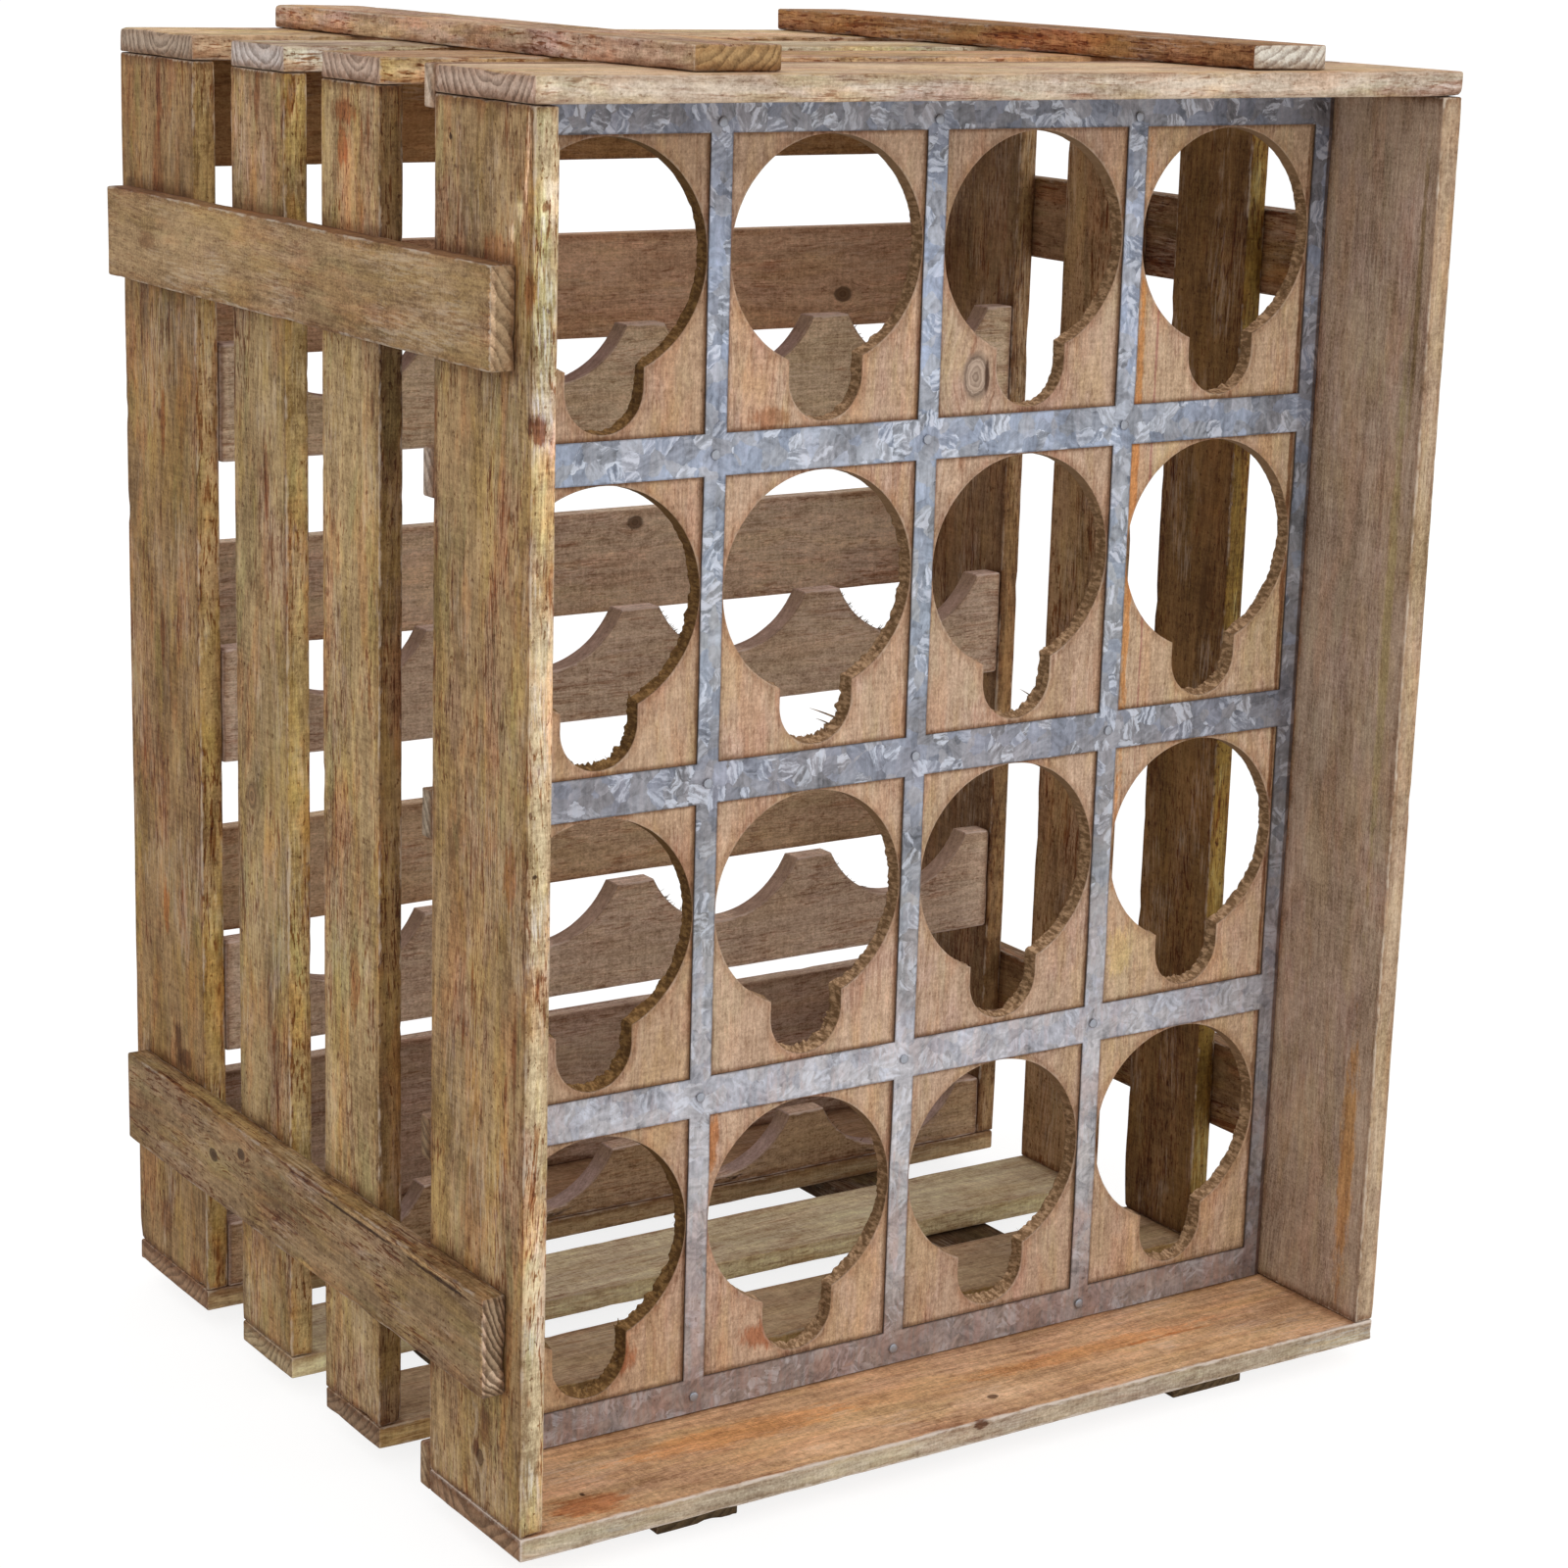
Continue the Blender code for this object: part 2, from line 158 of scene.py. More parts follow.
def lattice(shape):
    """Indices and quads of the surface of a block of points."""
    index = np.arange(np.prod(shape)).reshape(shape)
    quads = []

    def sheet(grid, turned):
        corners = (grid[:-1, :-1], grid[1:, :-1], grid[1:, 1:], grid[:-1, 1:])
        rows = np.stack(corners, axis=-1).reshape(-1, 4)
        quads.append(rows[:, ::-1] if turned else rows)

    sheet(index[:, :, -1], False)
    sheet(index[:, :, 0], True)
    sheet(index[:, 0, :], False)
    sheet(index[:, -1, :], True)
    sheet(index[0, :, :], True)
    sheet(index[-1, :, :], False)
    quads = np.concatenate(quads)
    used, renumbered = np.unique(quads, return_inverse=True)
    return np.unravel_index(used, shape), renumbered.reshape(quads.shape)


NEIGHBOURS = [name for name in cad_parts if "grid" not in name]


def contact_gap(points, node):
    """Millimetres from each point to the nearest of the other boards."""
    gap = np.full(len(points), 40 * MM)
    for other in NEIGHBOURS:
        if other != node:
            low, high = (np.array(corner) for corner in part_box(other))
            away = np.maximum(np.maximum(low - points, points - high), 0)
            gap = np.minimum(gap, np.linalg.norm(away, axis=1))
    return gap / MM


def board(name, node, grain, width, material, seed, spacing=COARSE, wear=1.0, chips=1.0, bow=0.0,
          upper=None, stations=None):
    """A sawn board in the place of a CAD node, with rounded, chipped edges and perhaps a bow.

    upper, if given, is a function of the place along the grain that gives the height of the
    board's upper edge above its middle. Points work in grain, width and thickness order.
    """
    low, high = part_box(node)
    centre = (low + high) / 2
    axes = (grain, width, grain.cross(width))
    size = [abs((high - low).dot(axis)) for axis in axes]
    along = places(size[0], spacing) if stations is None else stations
    across = places(size[1], max(spacing, FINE))
    through = places(size[2], 3 * MM)
    (i, j, k), quads = lattice((len(along), len(across), len(through)))
    rng = seed * 17

    # Upper and lower edge at each place along the grain
    x = along[i]
    half_width = size[1] / 2
    foot = np.full(len(x), -half_width)
    head = np.full(len(x), half_width) if upper is None else upper(x)
    middle, half = (head + foot) / 2, (head - foot) / 2
    y = across[j]
    inner = half_width - EDGE_STEPS[-1]
    near_edge = np.sign(y) * (half - half_width + np.abs(y))
    y = np.where(np.abs(y) > inner, near_edge, y / inner * (half - EDGE_STEPS[-1]))
    p = np.stack([x, y, through[k]], axis=1)
    limit = np.stack([np.full(len(x), size[0] / 2), half, np.full(len(x), size[2] / 2)], axis=1)

    gaps = np.sort(limit - np.abs(p), axis=1)
    arris = gaps[:, 1]
    end_gap = limit[:, 0] - np.abs(x)

    # Worn edges: a rounding that changes along the board, with chips here and there
    spot = p + rng * 0.031
    radius = 0.75 + 0.35 * noise(spot, 0.023, rng + 1) + 0.15 * noise(spot, 0.006, rng + 2)
    dent = ease(noise(spot, (0.016, 0.012, 0.012), rng + 3), 0.42, 0.85)
    dent += 0.6 * ease(noise(spot, (0.006, 0.006, 0.006), rng + 4), 0.5, 0.9)
    radius = wear * np.clip(radius, 0.35, 2) + chips * 1.6 * dent
    corner = ease(10 * MM - end_gap, 0, 10 * MM)
    radius = np.clip(radius * (1 + 0.5 * corner), 0.3, 3.2)[:, None] * MM
    core = np.clip(p, -(limit - radius), limit - radius)
    away = p - core
    reach = np.linalg.norm(away, axis=1)[:, None]
    p = core + away * np.where(reach > 0, radius / np.maximum(reach, 1e-9), 0)

    # Sawn faces are never quite flat
    wave = 0.10 * noise(spot, (0.07, 0.03, 0.03), rng + 5) + 0.05 * noise(spot, 0.012, rng + 6)
    ripple = 0.16 * noise(spot, (0.09, 0.02, 0.05), rng + 7)
    share = p[:, 0] / (size[0] / 2)
    p[:, 2] += wave * MM + bow * (1 - share ** 2)
    p[:, 1] += ripple * MM + middle

    world = np.array(centre) + p @ np.array([list(axis) for axis in axes])
    values = {"arris": arris / MM, "contact": contact_gap(world, node)}
    piece = make_piece(name, world, quads, axes, centre, material, values)
    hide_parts(node)
    return piece


# Nodes

class Field:
    """A number or a vector inside a material. Sums, differences and products give new ones."""

    def __init__(self, nodes, socket):
        self.nodes = nodes
        self.socket = socket
        self.is_number = socket.type == "VALUE"

    def joined(self, operation, other=0.0):
        if self.is_number:
            return self.nodes.math(operation, self, other)
        if operation == "MULTIPLY" and (isinstance(other, float) or getattr(other, "is_number", False)):
            operation = "SCALE"
        return self.nodes.vector(operation, self, other)

    def __add__(self, other):
        return self.joined("ADD", other)

    def __sub__(self, other):
        return self.joined("SUBTRACT", other)

    def __mul__(self, other):
        return self.joined("MULTIPLY", other)

    def __truediv__(self, other):
        return self.joined("DIVIDE", other)

    def __abs__(self):
        return self.joined("ABSOLUTE")

    def fraction(self):
        return self.joined("FRACT")

    def length(self):
        return self.nodes.vector("LENGTH", self, out="Value")

    def dot(self, direction):
        return self.nodes.vector("DOT_PRODUCT", self, direction, out="Value")

    def split(self):
        """The three parts of a vector or colour."""
        parts = self.nodes.node("ShaderNodeSeparateXYZ", {0: self}).outputs
        return [Field(self.nodes, part) for part in parts]

    def step(self, low, high, to_low=0.0, to_high=1.0):
        """A smooth step from one value to another."""
        limits = {"Value": self, "From Min": low, "From Max": high, "To Min": to_low, "To Max": to_high}
        return self.nodes.add("ShaderNodeMapRange", limits, interpolation_type="SMOOTHSTEP")

    def centred(self, amount):
        """Noise about its middle, times an amount."""
        return (self - 0.5) * amount

    def clamped(self, offset=0.0):
        """This number plus an offset, kept from 0 to 1."""
        return self.nodes.math("ADD", self, offset, True)


class Nodes:
    """Short calls for wiring a material together, and the colour that it has so far."""

    def __init__(self, name, roughness=0.8):
        self.material = bpy.data.materials.new(name)
        self.material.use_nodes = True
        self.tree = self.material.node_tree
        self.shader = self.tree.nodes["Principled BSDF"]
        self.shader.inputs["Roughness"].default_value = roughness
        self.colour = None
        coordinates = self.node("ShaderNodeTexCoord", {}).outputs
        self.object = Field(self, coordinates["Object"])
        self.facing = Field(self, coordinates["Normal"])
        self.place = self.object * (1 / MM)

    def feed(self, socket, value):
        if isinstance(value, Field):
            self.tree.links.new(value.socket, socket)
        elif socket.type == "RGBA" and len(value) == 3:
            socket.default_value = (*value, 1)
        else:
            socket.default_value = value

    def node(self, kind, inputs, **settings):
        node = self.tree.nodes.new(kind)
        for key, value in settings.items():
            setattr(node, key, value)
        for key, value in inputs.items():
            self.feed(node.inputs[key], value)
        return node

    def add(self, kind, inputs, out=0, **settings):
        return Field(self, self.node(kind, inputs, **settings).outputs[out])

    def math(self, operation, a, b=0.0, clamp=False):
        return self.add("ShaderNodeMath", {0: a, 1: b}, operation=operation, use_clamp=clamp)

    def vector(self, operation, a, b=(0, 0, 0), out="Vector"):
        node = self.node("ShaderNodeVectorMath", {0: a}, operation=operation)
        self.feed(node.inputs["Scale" if operation == "SCALE" else 1], b)
        return Field(self, node.outputs[out])

    def mix(self, factor, a, b, blend="MIX"):
        return self.add("ShaderNodeMix", {0: factor, 6: a, 7: b}, 2, data_type="RGBA", blend_type=blend)

    def tint(self, amount, tint):
        """Multiply the colour so far by a tint, by an amount."""
        self.colour = self.mix(amount, self.colour, tint, "MULTIPLY")

    def cover(self, amount, colour):
        """Lay a colour over the colour so far, by an amount."""
        self.colour = self.mix(amount, self.colour, colour)

    def noise(self, vector, stretch, detail=3.0, roughness=0.55, out=0):
        """Noise stretched along the grain and across it, or along all three axes."""
        scaled = vector * (*stretch, *stretch[1:])[:3]
        inputs = {"Vector": scaled, "Scale": 1.0, "Detail": detail, "Roughness": roughness}
        return self.add("ShaderNodeTexNoise", inputs, out)

    def value(self, name):
        return self.add("ShaderNodeAttribute", {}, "Fac", attribute_name=name)

    def finish(self, roughness, height, distance, strength):
        bump = self.add("ShaderNodeBump", {"Strength": strength, "Distance": distance, "Height": height})
        for key, value in (("Base Color", self.colour), ("Roughness", roughness), ("Normal", bump)):
            self.feed(self.shader.inputs[key], value)
        return self.material


def shaded(colour, scale):
    """A colour times a scale for each channel, at most 1."""
    return tuple(min(1.0, c * s) for c, s in zip(colour, scale))


def local_vector(axes, world):
    """A direction of the shared frame along a piece's own axes."""
    return tuple(Vector(world).dot(axis) for axis in axes)


def wood(name, node, grain, width, seed=1, pith=(30.0, 45.0), spacing=4.0, contrast=1.0, broad=1.0,
         specks=1.1, hue=0.8, marks=1.3, rings=0.5, dry=0.5, end=(0.30, 0.24, 0.19), end_rings=0.45,
         end_from=(0.55, 0.85), pale=(0.60, 0.50, 0.40), worn=0.5, bare_from=0.42, bare_width=1.2,
         grime=0.5, wall=((0.070, 0.034, 0.014), (0.24, 0.14, 0.065)), bars=None, knots=(), stains=(),
         **faces):
    """Weathered softwood. Lengths inside the nodes are millimetres along the piece's own axes.

    faces gives the middle colour of the sides by name, partly the wood's own tone and partly painted light
    and shade. The first one is also for all the others.
    """
    low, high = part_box(node)
    centre = (low + high) / 2
    axes = (grain, width, grain.cross(width))
    n = Nodes(name)
    n.shader.inputs["Specular IOR Level"].default_value = 0.2
    place = n.place
    shifted = place + (seed * 37.3, seed * 91.7, seed * 53.1)

    def local(spot):
        """A place given in millimetres of the shared frame, from the piece's middle."""
        return [v / MM for v in local_vector(axes, Vector(spot) * MM - centre)]

    # The grain wanders slowly, and parts around knots
    slow = (n.noise(shifted, (0.0035, 0.022), 1.0, out=1) - (0.5, 0.5, 0.5)) * (0, 22, 22)
    quick = (n.noise(shifted, (0.022, 0.12), 2.0, out=1) - (0.5, 0.5, 0.5)) * (0, 3.0, 3.0)
    flow = place + slow + quick
    knot_marks = []
    for spot, size, colour in knots:
        middle = local(spot)
        offset = place - (middle[0], middle[1], 0)
        wander = n.noise(shifted, (0.3, 0.3), 2.0).centred(0.35 * size)
        distance = (offset * (0.72, 1, 0)).length() + wander
        flow = flow - offset * (0, 1, 0) * distance.step(0.0, 3.2 * size + 4, 0.95, 0.0)
        knot_marks.append((distance, distance.step(0.8 * size, size, 1.0, 0.0), size, colour))

    # Year rings round a pith that lies off the board
    turned = n.add("ShaderNodeMapping", {"Vector": flow, "Location": (0, -pith[0], -pith[1]),
                                         "Rotation": (0, 0.020, 0.014)})
    radius = (turned * (0, 1, 1)).length()
    uneven = n.add("ShaderNodeTexNoise", {"W": radius * 0.09, "Scale": 1.0}, noise_dimensions="1D")
    phase = radius / spacing + uneven * 2.2
    for distance, inside, size, colour in knot_marks:
        phase = n.add("ShaderNodeMix", {0: inside, 2: phase, 3: distance / 1.7}, data_type="FLOAT")
    fraction = phase.fraction()
    late = fraction.step(0.15, 0.86) * fraction.step(0.9, 1.0, 1.0, 0.0)

    # Fibres, fine lines, broader streaks, blotches and mottling
    moved = flow + (seed * 11.3, seed * 23.9, seed * 7.7)
    fibre = n.noise(moved, (0.06, 0.80), 5.0, 0.66)
    line = n.noise(moved, (0.009, 1.20), 2.0, 0.5)
    band = n.noise(moved, (0.014, 0.17), 3.0, 0.6)
    blotches = n.noise(shifted, (0.016, 0.036), 4.0, 0.62, out=1).split()
    mottle = n.noise(shifted, (0.16, 0.26), 5.0, 0.80)
    speck = n.noise(shifted, (0.7, 1.0), 3.0, 0.7)
    saw = n.noise(shifted, (0.75, 0.045), 3.0, 0.6)
    tone = fibre.centred(1.05) + line.centred(0.55) + band.centred(0.9 * broad) + mottle.centred(1.7)
    tone = tone + saw.centred(0.6) + late * (-0.28 * rings) + blotches[0].centred(1.7 * broad)
    tone = (tone * contrast + speck.centred(specks)).clamped(0.52)
    base = next(iter(faces.values()))
    n.colour = n.mix(tone, shaded(base, (0.50, 0.43, 0.37)), shaded(base, (1.48, 1.50, 1.52)))

    # Reddish, ochre, olive and mauve tints that drift over the faces in patches
    drifts = n.noise(moved, (0.015, 0.060), 4.0, 0.62, out=1).split()
    tints = ((drifts[0], 0.50, (1.12, 0.86, 0.72)), (drifts[1], 0.49, (1.02, 1.0, 0.66)),
             (drifts[2], 0.52, (0.84, 0.98, 0.86)), (blotches[1], 0.50, (1.0, 0.95, 1.20)))
    for drift, start, tint in tints:
        n.tint(drift.step(start, start + 0.13, 0.0, 0.8 * hue), tint)

    # Dark reddish streaks, short dashes, small pits and pale scuffs, each in its own areas
    streak = n.noise(moved, (0.020, 0.30), 4.0, 0.62).step(0.555, 0.66)
    n.tint((streak * blotches[1].step(0.45, 0.56, 0.0, marks)).clamped(), (0.58, 0.37, 0.25))
    dash = n.noise(moved, (0.13, 1.10), 2.0, 0.5).step(0.54, 0.63)
    rough_area = (blotches[1] + band.centred(0.6)).step(0.45, 0.58, 0.15, 1.0)
    n.tint((dash * (rough_area * marks)).clamped(), (0.46, 0.28, 0.18))
    pit = n.noise(shifted, (0.32, 0.55), 2.0, 0.5).step(0.64, 0.72)
    pit = n.math("MULTIPLY", pit, 0.9 * marks, True)
    n.tint(pit, (0.52, 0.38, 0.29))
    bleached = blotches[2].step(0.50, 0.62) * fibre.step(0.46, 0.60)
    n.cover(bleached * dry, n.mix(0.55, n.colour, pale))

    # Ends, and faces that have a colour of their own, which holds painted light and shade as well as the
    # wood's tone
    facings = n.facing.split()
    end_mark = abs(facings[0]).step(*end_from)
    end_tone = late * -end_rings + speck.centred(0.9) + mottle.centred(1.2) + (0.50 + 0.35 * end_rings)
    dark, light = shaded(end, (0.42, 0.38, 0.35)), shaded(end, (1.45, 1.47, 1.5))
    n.cover(end_mark, n.mix(end_tone.clamped(), dark, light))
    # Each side's colour, painted lighter or darker where that side lies in light or in shade
    for side, colour in faces.items():
        toward = n.facing.dot(local_vector(axes, SIDES[side]))
        n.tint(toward.step(0.45, 0.8), tuple(here / there for here, there in zip(colour, base)))

    # Knots
    for distance, inside, size, colour in knot_marks:
        shade = shaded(colour, (0.45, 0.42, 0.40))
        heart = distance.step(0.0, 0.7 * size, 0.6, 0.0) + late * 0.6
        heart = heart + fibre.centred(0.9) + mottle.centred(1.2)
        n.cover(inside * 0.92, n.mix(heart.clamped(), colour, shade))
        rim = distance.step(0.78 * size, 0.95 * size) * distance.step(size, 1.35 * size, 1.0, 0.0)
        n.cover(rim * 0.75, shade)

    # Stains, nails and cracks at named places
    blot = n.noise(shifted, (0.10, 0.40), 4.0, 0.7).centred(1.9)
    for spot, reach, stain in stains:
        scale = tuple(1 / max(abs(v), 0.001) for v in local_vector(axes, reach))
        distance = ((place - local(spot)) * scale).length() + blot
        n.tint(distance.step(0.55, 1.05, 1.0, 0.0), stain)

    # Grime beside the edges, dark grime and painted shade where boards meet, bare pale wood on the edges in
    # places
    arris = n.value("arris")
    ragged = n.noise(shifted, (0.10, 0.35), 4.0, 0.7).centred(9.0)
    n.tint((arris + ragged).step(0.6, 4.5, grime, 0.0), (0.62, 0.48, 0.38))
    # Painted shade, with some grime, within a few millimetres of the other boards
    n.tint((n.value("contact") + ragged).step(0.0, 6.0, 0.7, 0.0), (0.50, 0.35, 0.25))
    # Painted shadow of the sheet's edges on the front boards, just inside each window, with some grime
    if bars:
        along = place.split()
        pitch = WINDOW_PITCH / MM
        from_side = abs(abs(along[1] - (bars[0] - centre.x) / MM) - WINDOW_WIDTH / 2 / MM)
        level = ((along[0] - (bars[1] - centre.z) / MM) / pitch).fraction() * pitch
        above = n.math("SUBTRACT", pitch, level)
        from_level = n.math("MINIMUM", level - (WINDOW_PITCH - WINDOW_HEIGHT) / MM, above)
        beside = n.math("MINIMUM", from_side, from_level) + ragged * 0.35
        ahead = n.facing.dot(local_vector(axes, SIDES["front"]))
        n.tint(beside.step(0.2, 2.4, 0.75, 0.0) * ahead.step(0.4, 0.7), (0.45, 0.32, 0.23))
    gone = n.noise(shifted, (0.035, 0.05), 4.0, 0.7).step(bare_from, bare_from + 0.16)
    ragged = n.noise(shifted, (0.12, 0.5), 3.0, 0.7).centred(5.0)
    bare = (arris + ragged).step(0.0, bare_width, worn, 0.0) * gone
    n.cover(bare * end_mark.step(0.0, 1.0, 1.0, 0.25), pale)

    # The sawn walls of holes, smooth above and torn low on the right
    in_wall = n.value("wall").step(0.15, 0.7)
    crumb = n.noise(shifted, (0.55, 0.55, 0.22), 3.0, 0.65)
    roughly = n.value("torn").step(0.1, 0.8, 0.15, 1.0)
    crumbs = (crumb.step(0.40, 0.64).centred(1.0) * roughly).clamped(0.42)
    n.cover(in_wall, n.mix(crumbs, *wall))
    # Painted light: faces of the wall that point along the grain (upwards on the front boards) are lighter,
    # as if lit
    n.tint(in_wall * facings[0].step(0.4, 0.95), (1.75, 1.80, 1.95))

    height = fibre * 0.8 + late * 0.25 + speck * 0.35 + pit * -0.8 + crumb * in_wall * roughly * 2.4
    rough = fibre.centred(0.25) + speck.centred(0.15) + WOOD_ROUGHNESS
    return n.finish(rough, height, 0.45 * MM, 0.7)


# The zinc's colour at heights above the table
ZINC_TONES = (
    (0.600, (0.26, 0.26, 0.29)),
    (0.530, (0.38, 0.41, 0.48)),
    (0.457, (0.32, 0.34, 0.39)),
    (0.385, (0.32, 0.34, 0.37)),
    (0.314, (0.26, 0.26, 0.29)),
    (0.250, (0.30, 0.30, 0.31)),
    (0.172, (0.46, 0.45, 0.48)),
    (0.100, (0.48, 0.46, 0.46)),
    (0.030, (0.36, 0.30, 0.28)),
)


def zinc(name, node):
    """Galvanised sheet: feathery crystal flakes under a dull film that changes down the rack."""
    low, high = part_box(node)
    n = Nodes(name, 0.5)
    n.shader.inputs["Metallic"].default_value = 0.35
    across, _, height = n.object.split()
    across = across + (low.x + high.x) / 2
    height = height + (low.z + high.z) / 2
    shifted = n.place + (93, 21, 57)
    height = height + n.noise(shifted, (0.02, 0.02), 3.0, 0.6).centred(0.05)
    share = height.step(low.z, high.z)
    share.socket.node.interpolation_type = "LINEAR"
    ramp = n.node("ShaderNodeValToRGB", {"Fac": share})
    elements = ramp.color_ramp.elements
    for level, tone in reversed(ZINC_TONES):
        elements.new((level - low.z) / (high.z - low.z)).color = (*tone, 1)
    elements.remove(elements[0])
    elements.remove(elements[-1])

    # Flakes, each with its own tints and its own direction of feathers
    bend = n.noise(shifted, (0.16, 0.16), 3.0, 0.6, out=1) - (0.5, 0.5, 0.5)
    bent = shifted + bend * 5.0
    tints = n.add("ShaderNodeTexVoronoi", {"Vector": bent, "Scale": 0.13, "Randomness": 1.0}, "Color").split()
    turned = n.add("ShaderNodeVectorRotate", {"Vector": bent, "Angle": tints[0] * FULL_TURN},
                   rotation_type="Y_AXIS")
    feather = n.noise(turned, (0.07, 0.24, 0.42), 4.0, 0.58)
    # Bright flakes are many above, few below the middle of the rack
    many = height.step(0.10, 0.42, 0.4, 1.0)
    bright = tints[1].step(0.50, 0.78) * feather.step(0.44, 0.60) * many
    run = n.noise(shifted, (0.40, 0.40, 0.022), 4.0, 0.65)
    cloud = n.noise(shifted, (0.05, 0.05, 0.035), 4.0, 0.65, out=1).split()
    fine = n.noise(shifted, (0.35, 0.35), 3.0, 0.6)
    tone = tints[2].centred(0.45) * many + feather.centred(1.3) + run.centred(0.9)
    tone = tone + cloud[0].centred(1.5) + fine.centred(0.8) + 1.0
    film = n.add("ShaderNodeCombineColor", {0: tone, 1: tone, 2: tone})
    n.colour = Field(n, ramp.outputs[0])
    n.tint(1.0, film)
    n.tint(tints[0].step(0.35, 0.75) * many * 0.8, (0.90, 1.0, 1.16))
    n.cover(bright * 0.72, (0.70, 0.75, 0.86))

    # Brownish film in clouds and runs, most of it low down
    low_down = height.step(0.02, 0.34, 1.0, 0.25)
    soiled = (cloud[1] + run.centred(0.7)).step(0.46, 0.62) * low_down
    n.tint(soiled * 0.7, (0.86, 0.68, 0.62))
    freckle = n.noise(shifted, (0.5, 0.5), 2.0, 0.5).step(0.66, 0.72, 0.0, 0.6)
    n.tint(freckle * low_down, (0.50, 0.38, 0.32))
    # The sheet is darker within about a millimetre of the windows' edges
    beside = n.noise(shifted, (0.10, 0.10), 3.0, 0.6).centred(2.2)
    n.tint((n.value("arris") + beside).step(0.0, 0.9, 0.75, 0.0), (0.45, 0.40, 0.38))
    # The strip beside the right slat is painted duller, as shade from the slat, and its very edge is brown
    n.tint(across.step(0.2145, 0.2165), (0.74, 0.72, 0.72))
    n.tint(across.step(0.2235, 0.2245), (0.45, 0.32, 0.25))

    # Cut edges are painted dark: the metal's dark edge, and painted shadow of the gap between the sheet and
    # the boards
    cut = abs(n.facing.split()[1]).step(0.4, 0.7, 0.85, 0.0)
    n.cover(cut, (0.075, 0.062, 0.055))
    rough = feather.centred(0.25) + tints[0].centred(0.15) + 0.5
    return n.finish(rough, feather * 0.5 + tints[1] * 0.3, 0.08 * MM, 0.4)


def worn_steel(name):
    """Tack heads: dull steel with fine mottling."""
    n = Nodes(name, 0.45)
    n.shader.inputs["Metallic"].default_value = 0.6
    mottle = n.noise(n.place, (0.8, 0.8), 3.0, 0.6)
    n.colour = n.mix(mottle, shaded(STEEL, (0.6, 0.6, 0.6)), shaded(STEEL, (1.3, 1.3, 1.3)))
    return n.finish(mottle.centred(0.3) + 0.45, mottle, 0.05 * MM, 0.4)


# Front boards with their torn keyholes

def keyhole_loop(middle, hole_z):
    """Points round a keyhole, anticlockwise from the right of its mouth, and the way out of it.

    They lie closer together on the right and below, where the cut is torn.
    """
    hole_x, notch_x = middle + HOLE_SHIFT, middle + NOTCH_SHIFT
    notch_z = hole_z - NOTCH_DROP
    right = math.asin((notch_x + NOTCH_RADIUS - hole_x) / HOLE_RADIUS)
    left = math.asin((hole_x - notch_x + NOTCH_RADIUS) / HOLE_RADIUS)

    def arc(centre_x, centre_z, radius, start, stop, count):
        angles = np.linspace(start, stop, count, endpoint=False)
        return np.stack([centre_x + radius * np.cos(angles), centre_z + radius * np.sin(angles)], axis=1)

    def side(x, start, stop, count):
        return np.stack([np.full(count, x), np.linspace(start, stop, count, endpoint=False)], axis=1)

    points = np.concatenate([
        arc(hole_x, hole_z, HOLE_RADIUS, right - math.pi / 2, 0.6, 125),
        arc(hole_x, hole_z, HOLE_RADIUS, 0.6, 1.5 * math.pi - left, 100),
        side(notch_x - NOTCH_RADIUS, hole_z - HOLE_RADIUS * math.cos(left), notch_z, 6),
        arc(notch_x, notch_z, NOTCH_RADIUS, math.pi, 2 * math.pi, 75),
        side(notch_x + NOTCH_RADIUS, notch_z, hole_z - HOLE_RADIUS * math.cos(right), 12),
    ])
    ahead = np.roll(points, -1, axis=0) - np.roll(points, 1, axis=0)
    outward = np.stack([ahead[:, 1], -ahead[:, 0]], axis=1)
    outward /= np.linalg.norm(outward, axis=1)[:, None]
    # Spread the turn at the corners of the mouth, so that rings round the hole never cross
    outward = sum(np.roll(outward, shift, axis=0) for shift in range(-4, 5))
    outward /= np.linalg.norm(outward, axis=1)[:, None]
    return points, outward


def torn_share(loop, middle, hole_z, row):
    """How much of a hole's tear each point has: all of it low on the right, little elsewhere."""
    away = loop - (middle + HOLE_SHIFT, hole_z)
    share = 0.12 + 0.88 * ease(np.cos(np.arctan2(away[:, 1], away[:, 0]) + 0.8), -0.1, 0.75)
    below = ease(-away[:, 1], 47 * MM, 60 * MM)
    rightward = (loop[:, 0] - middle - NOTCH_SHIFT) / NOTCH_RADIUS
    in_notch = (0.25 + 0.75 * ease(rightward, -0.8, -0.1)) * (1.0 if row == 0 else 1.8)
    return share * (1 - below) + in_notch * below


def band(a, b, count):
    """Quads between two rings of points that are numbered from a and from b."""
    here = np.arange(count)
    following = np.roll(here, -1)
    return np.stack([a + here, b + here, b + following, a + following], axis=1)


def splinter(base, direction, radius, sag, start):
    """A thin tapered splinter from its base: points, quads and the tip, numbered from start."""
    across = np.cross(direction, (0.3, 1.0, 0.2))
    across /= np.linalg.norm(across)
    other = np.cross(direction, across)
    other /= np.linalg.norm(other)
    points = []
    for share, taper in ((0.0, 1.0), (0.35, 0.85), (0.7, 0.5), (1.0, 0.12)):
        middle = base + direction * share + sag * share ** 2
        for turn in range(3):
            angle = THIRD_TURN * turn
            points.append(middle + radius * taper * (across * math.cos(angle) + other * math.sin(angle)))
    quads = np.concatenate([band(ring, ring + 3, 3) for ring in range(start, start + 9, 3)])
    return np.array(points), quads, (start + 11, start + 10, start + 9)


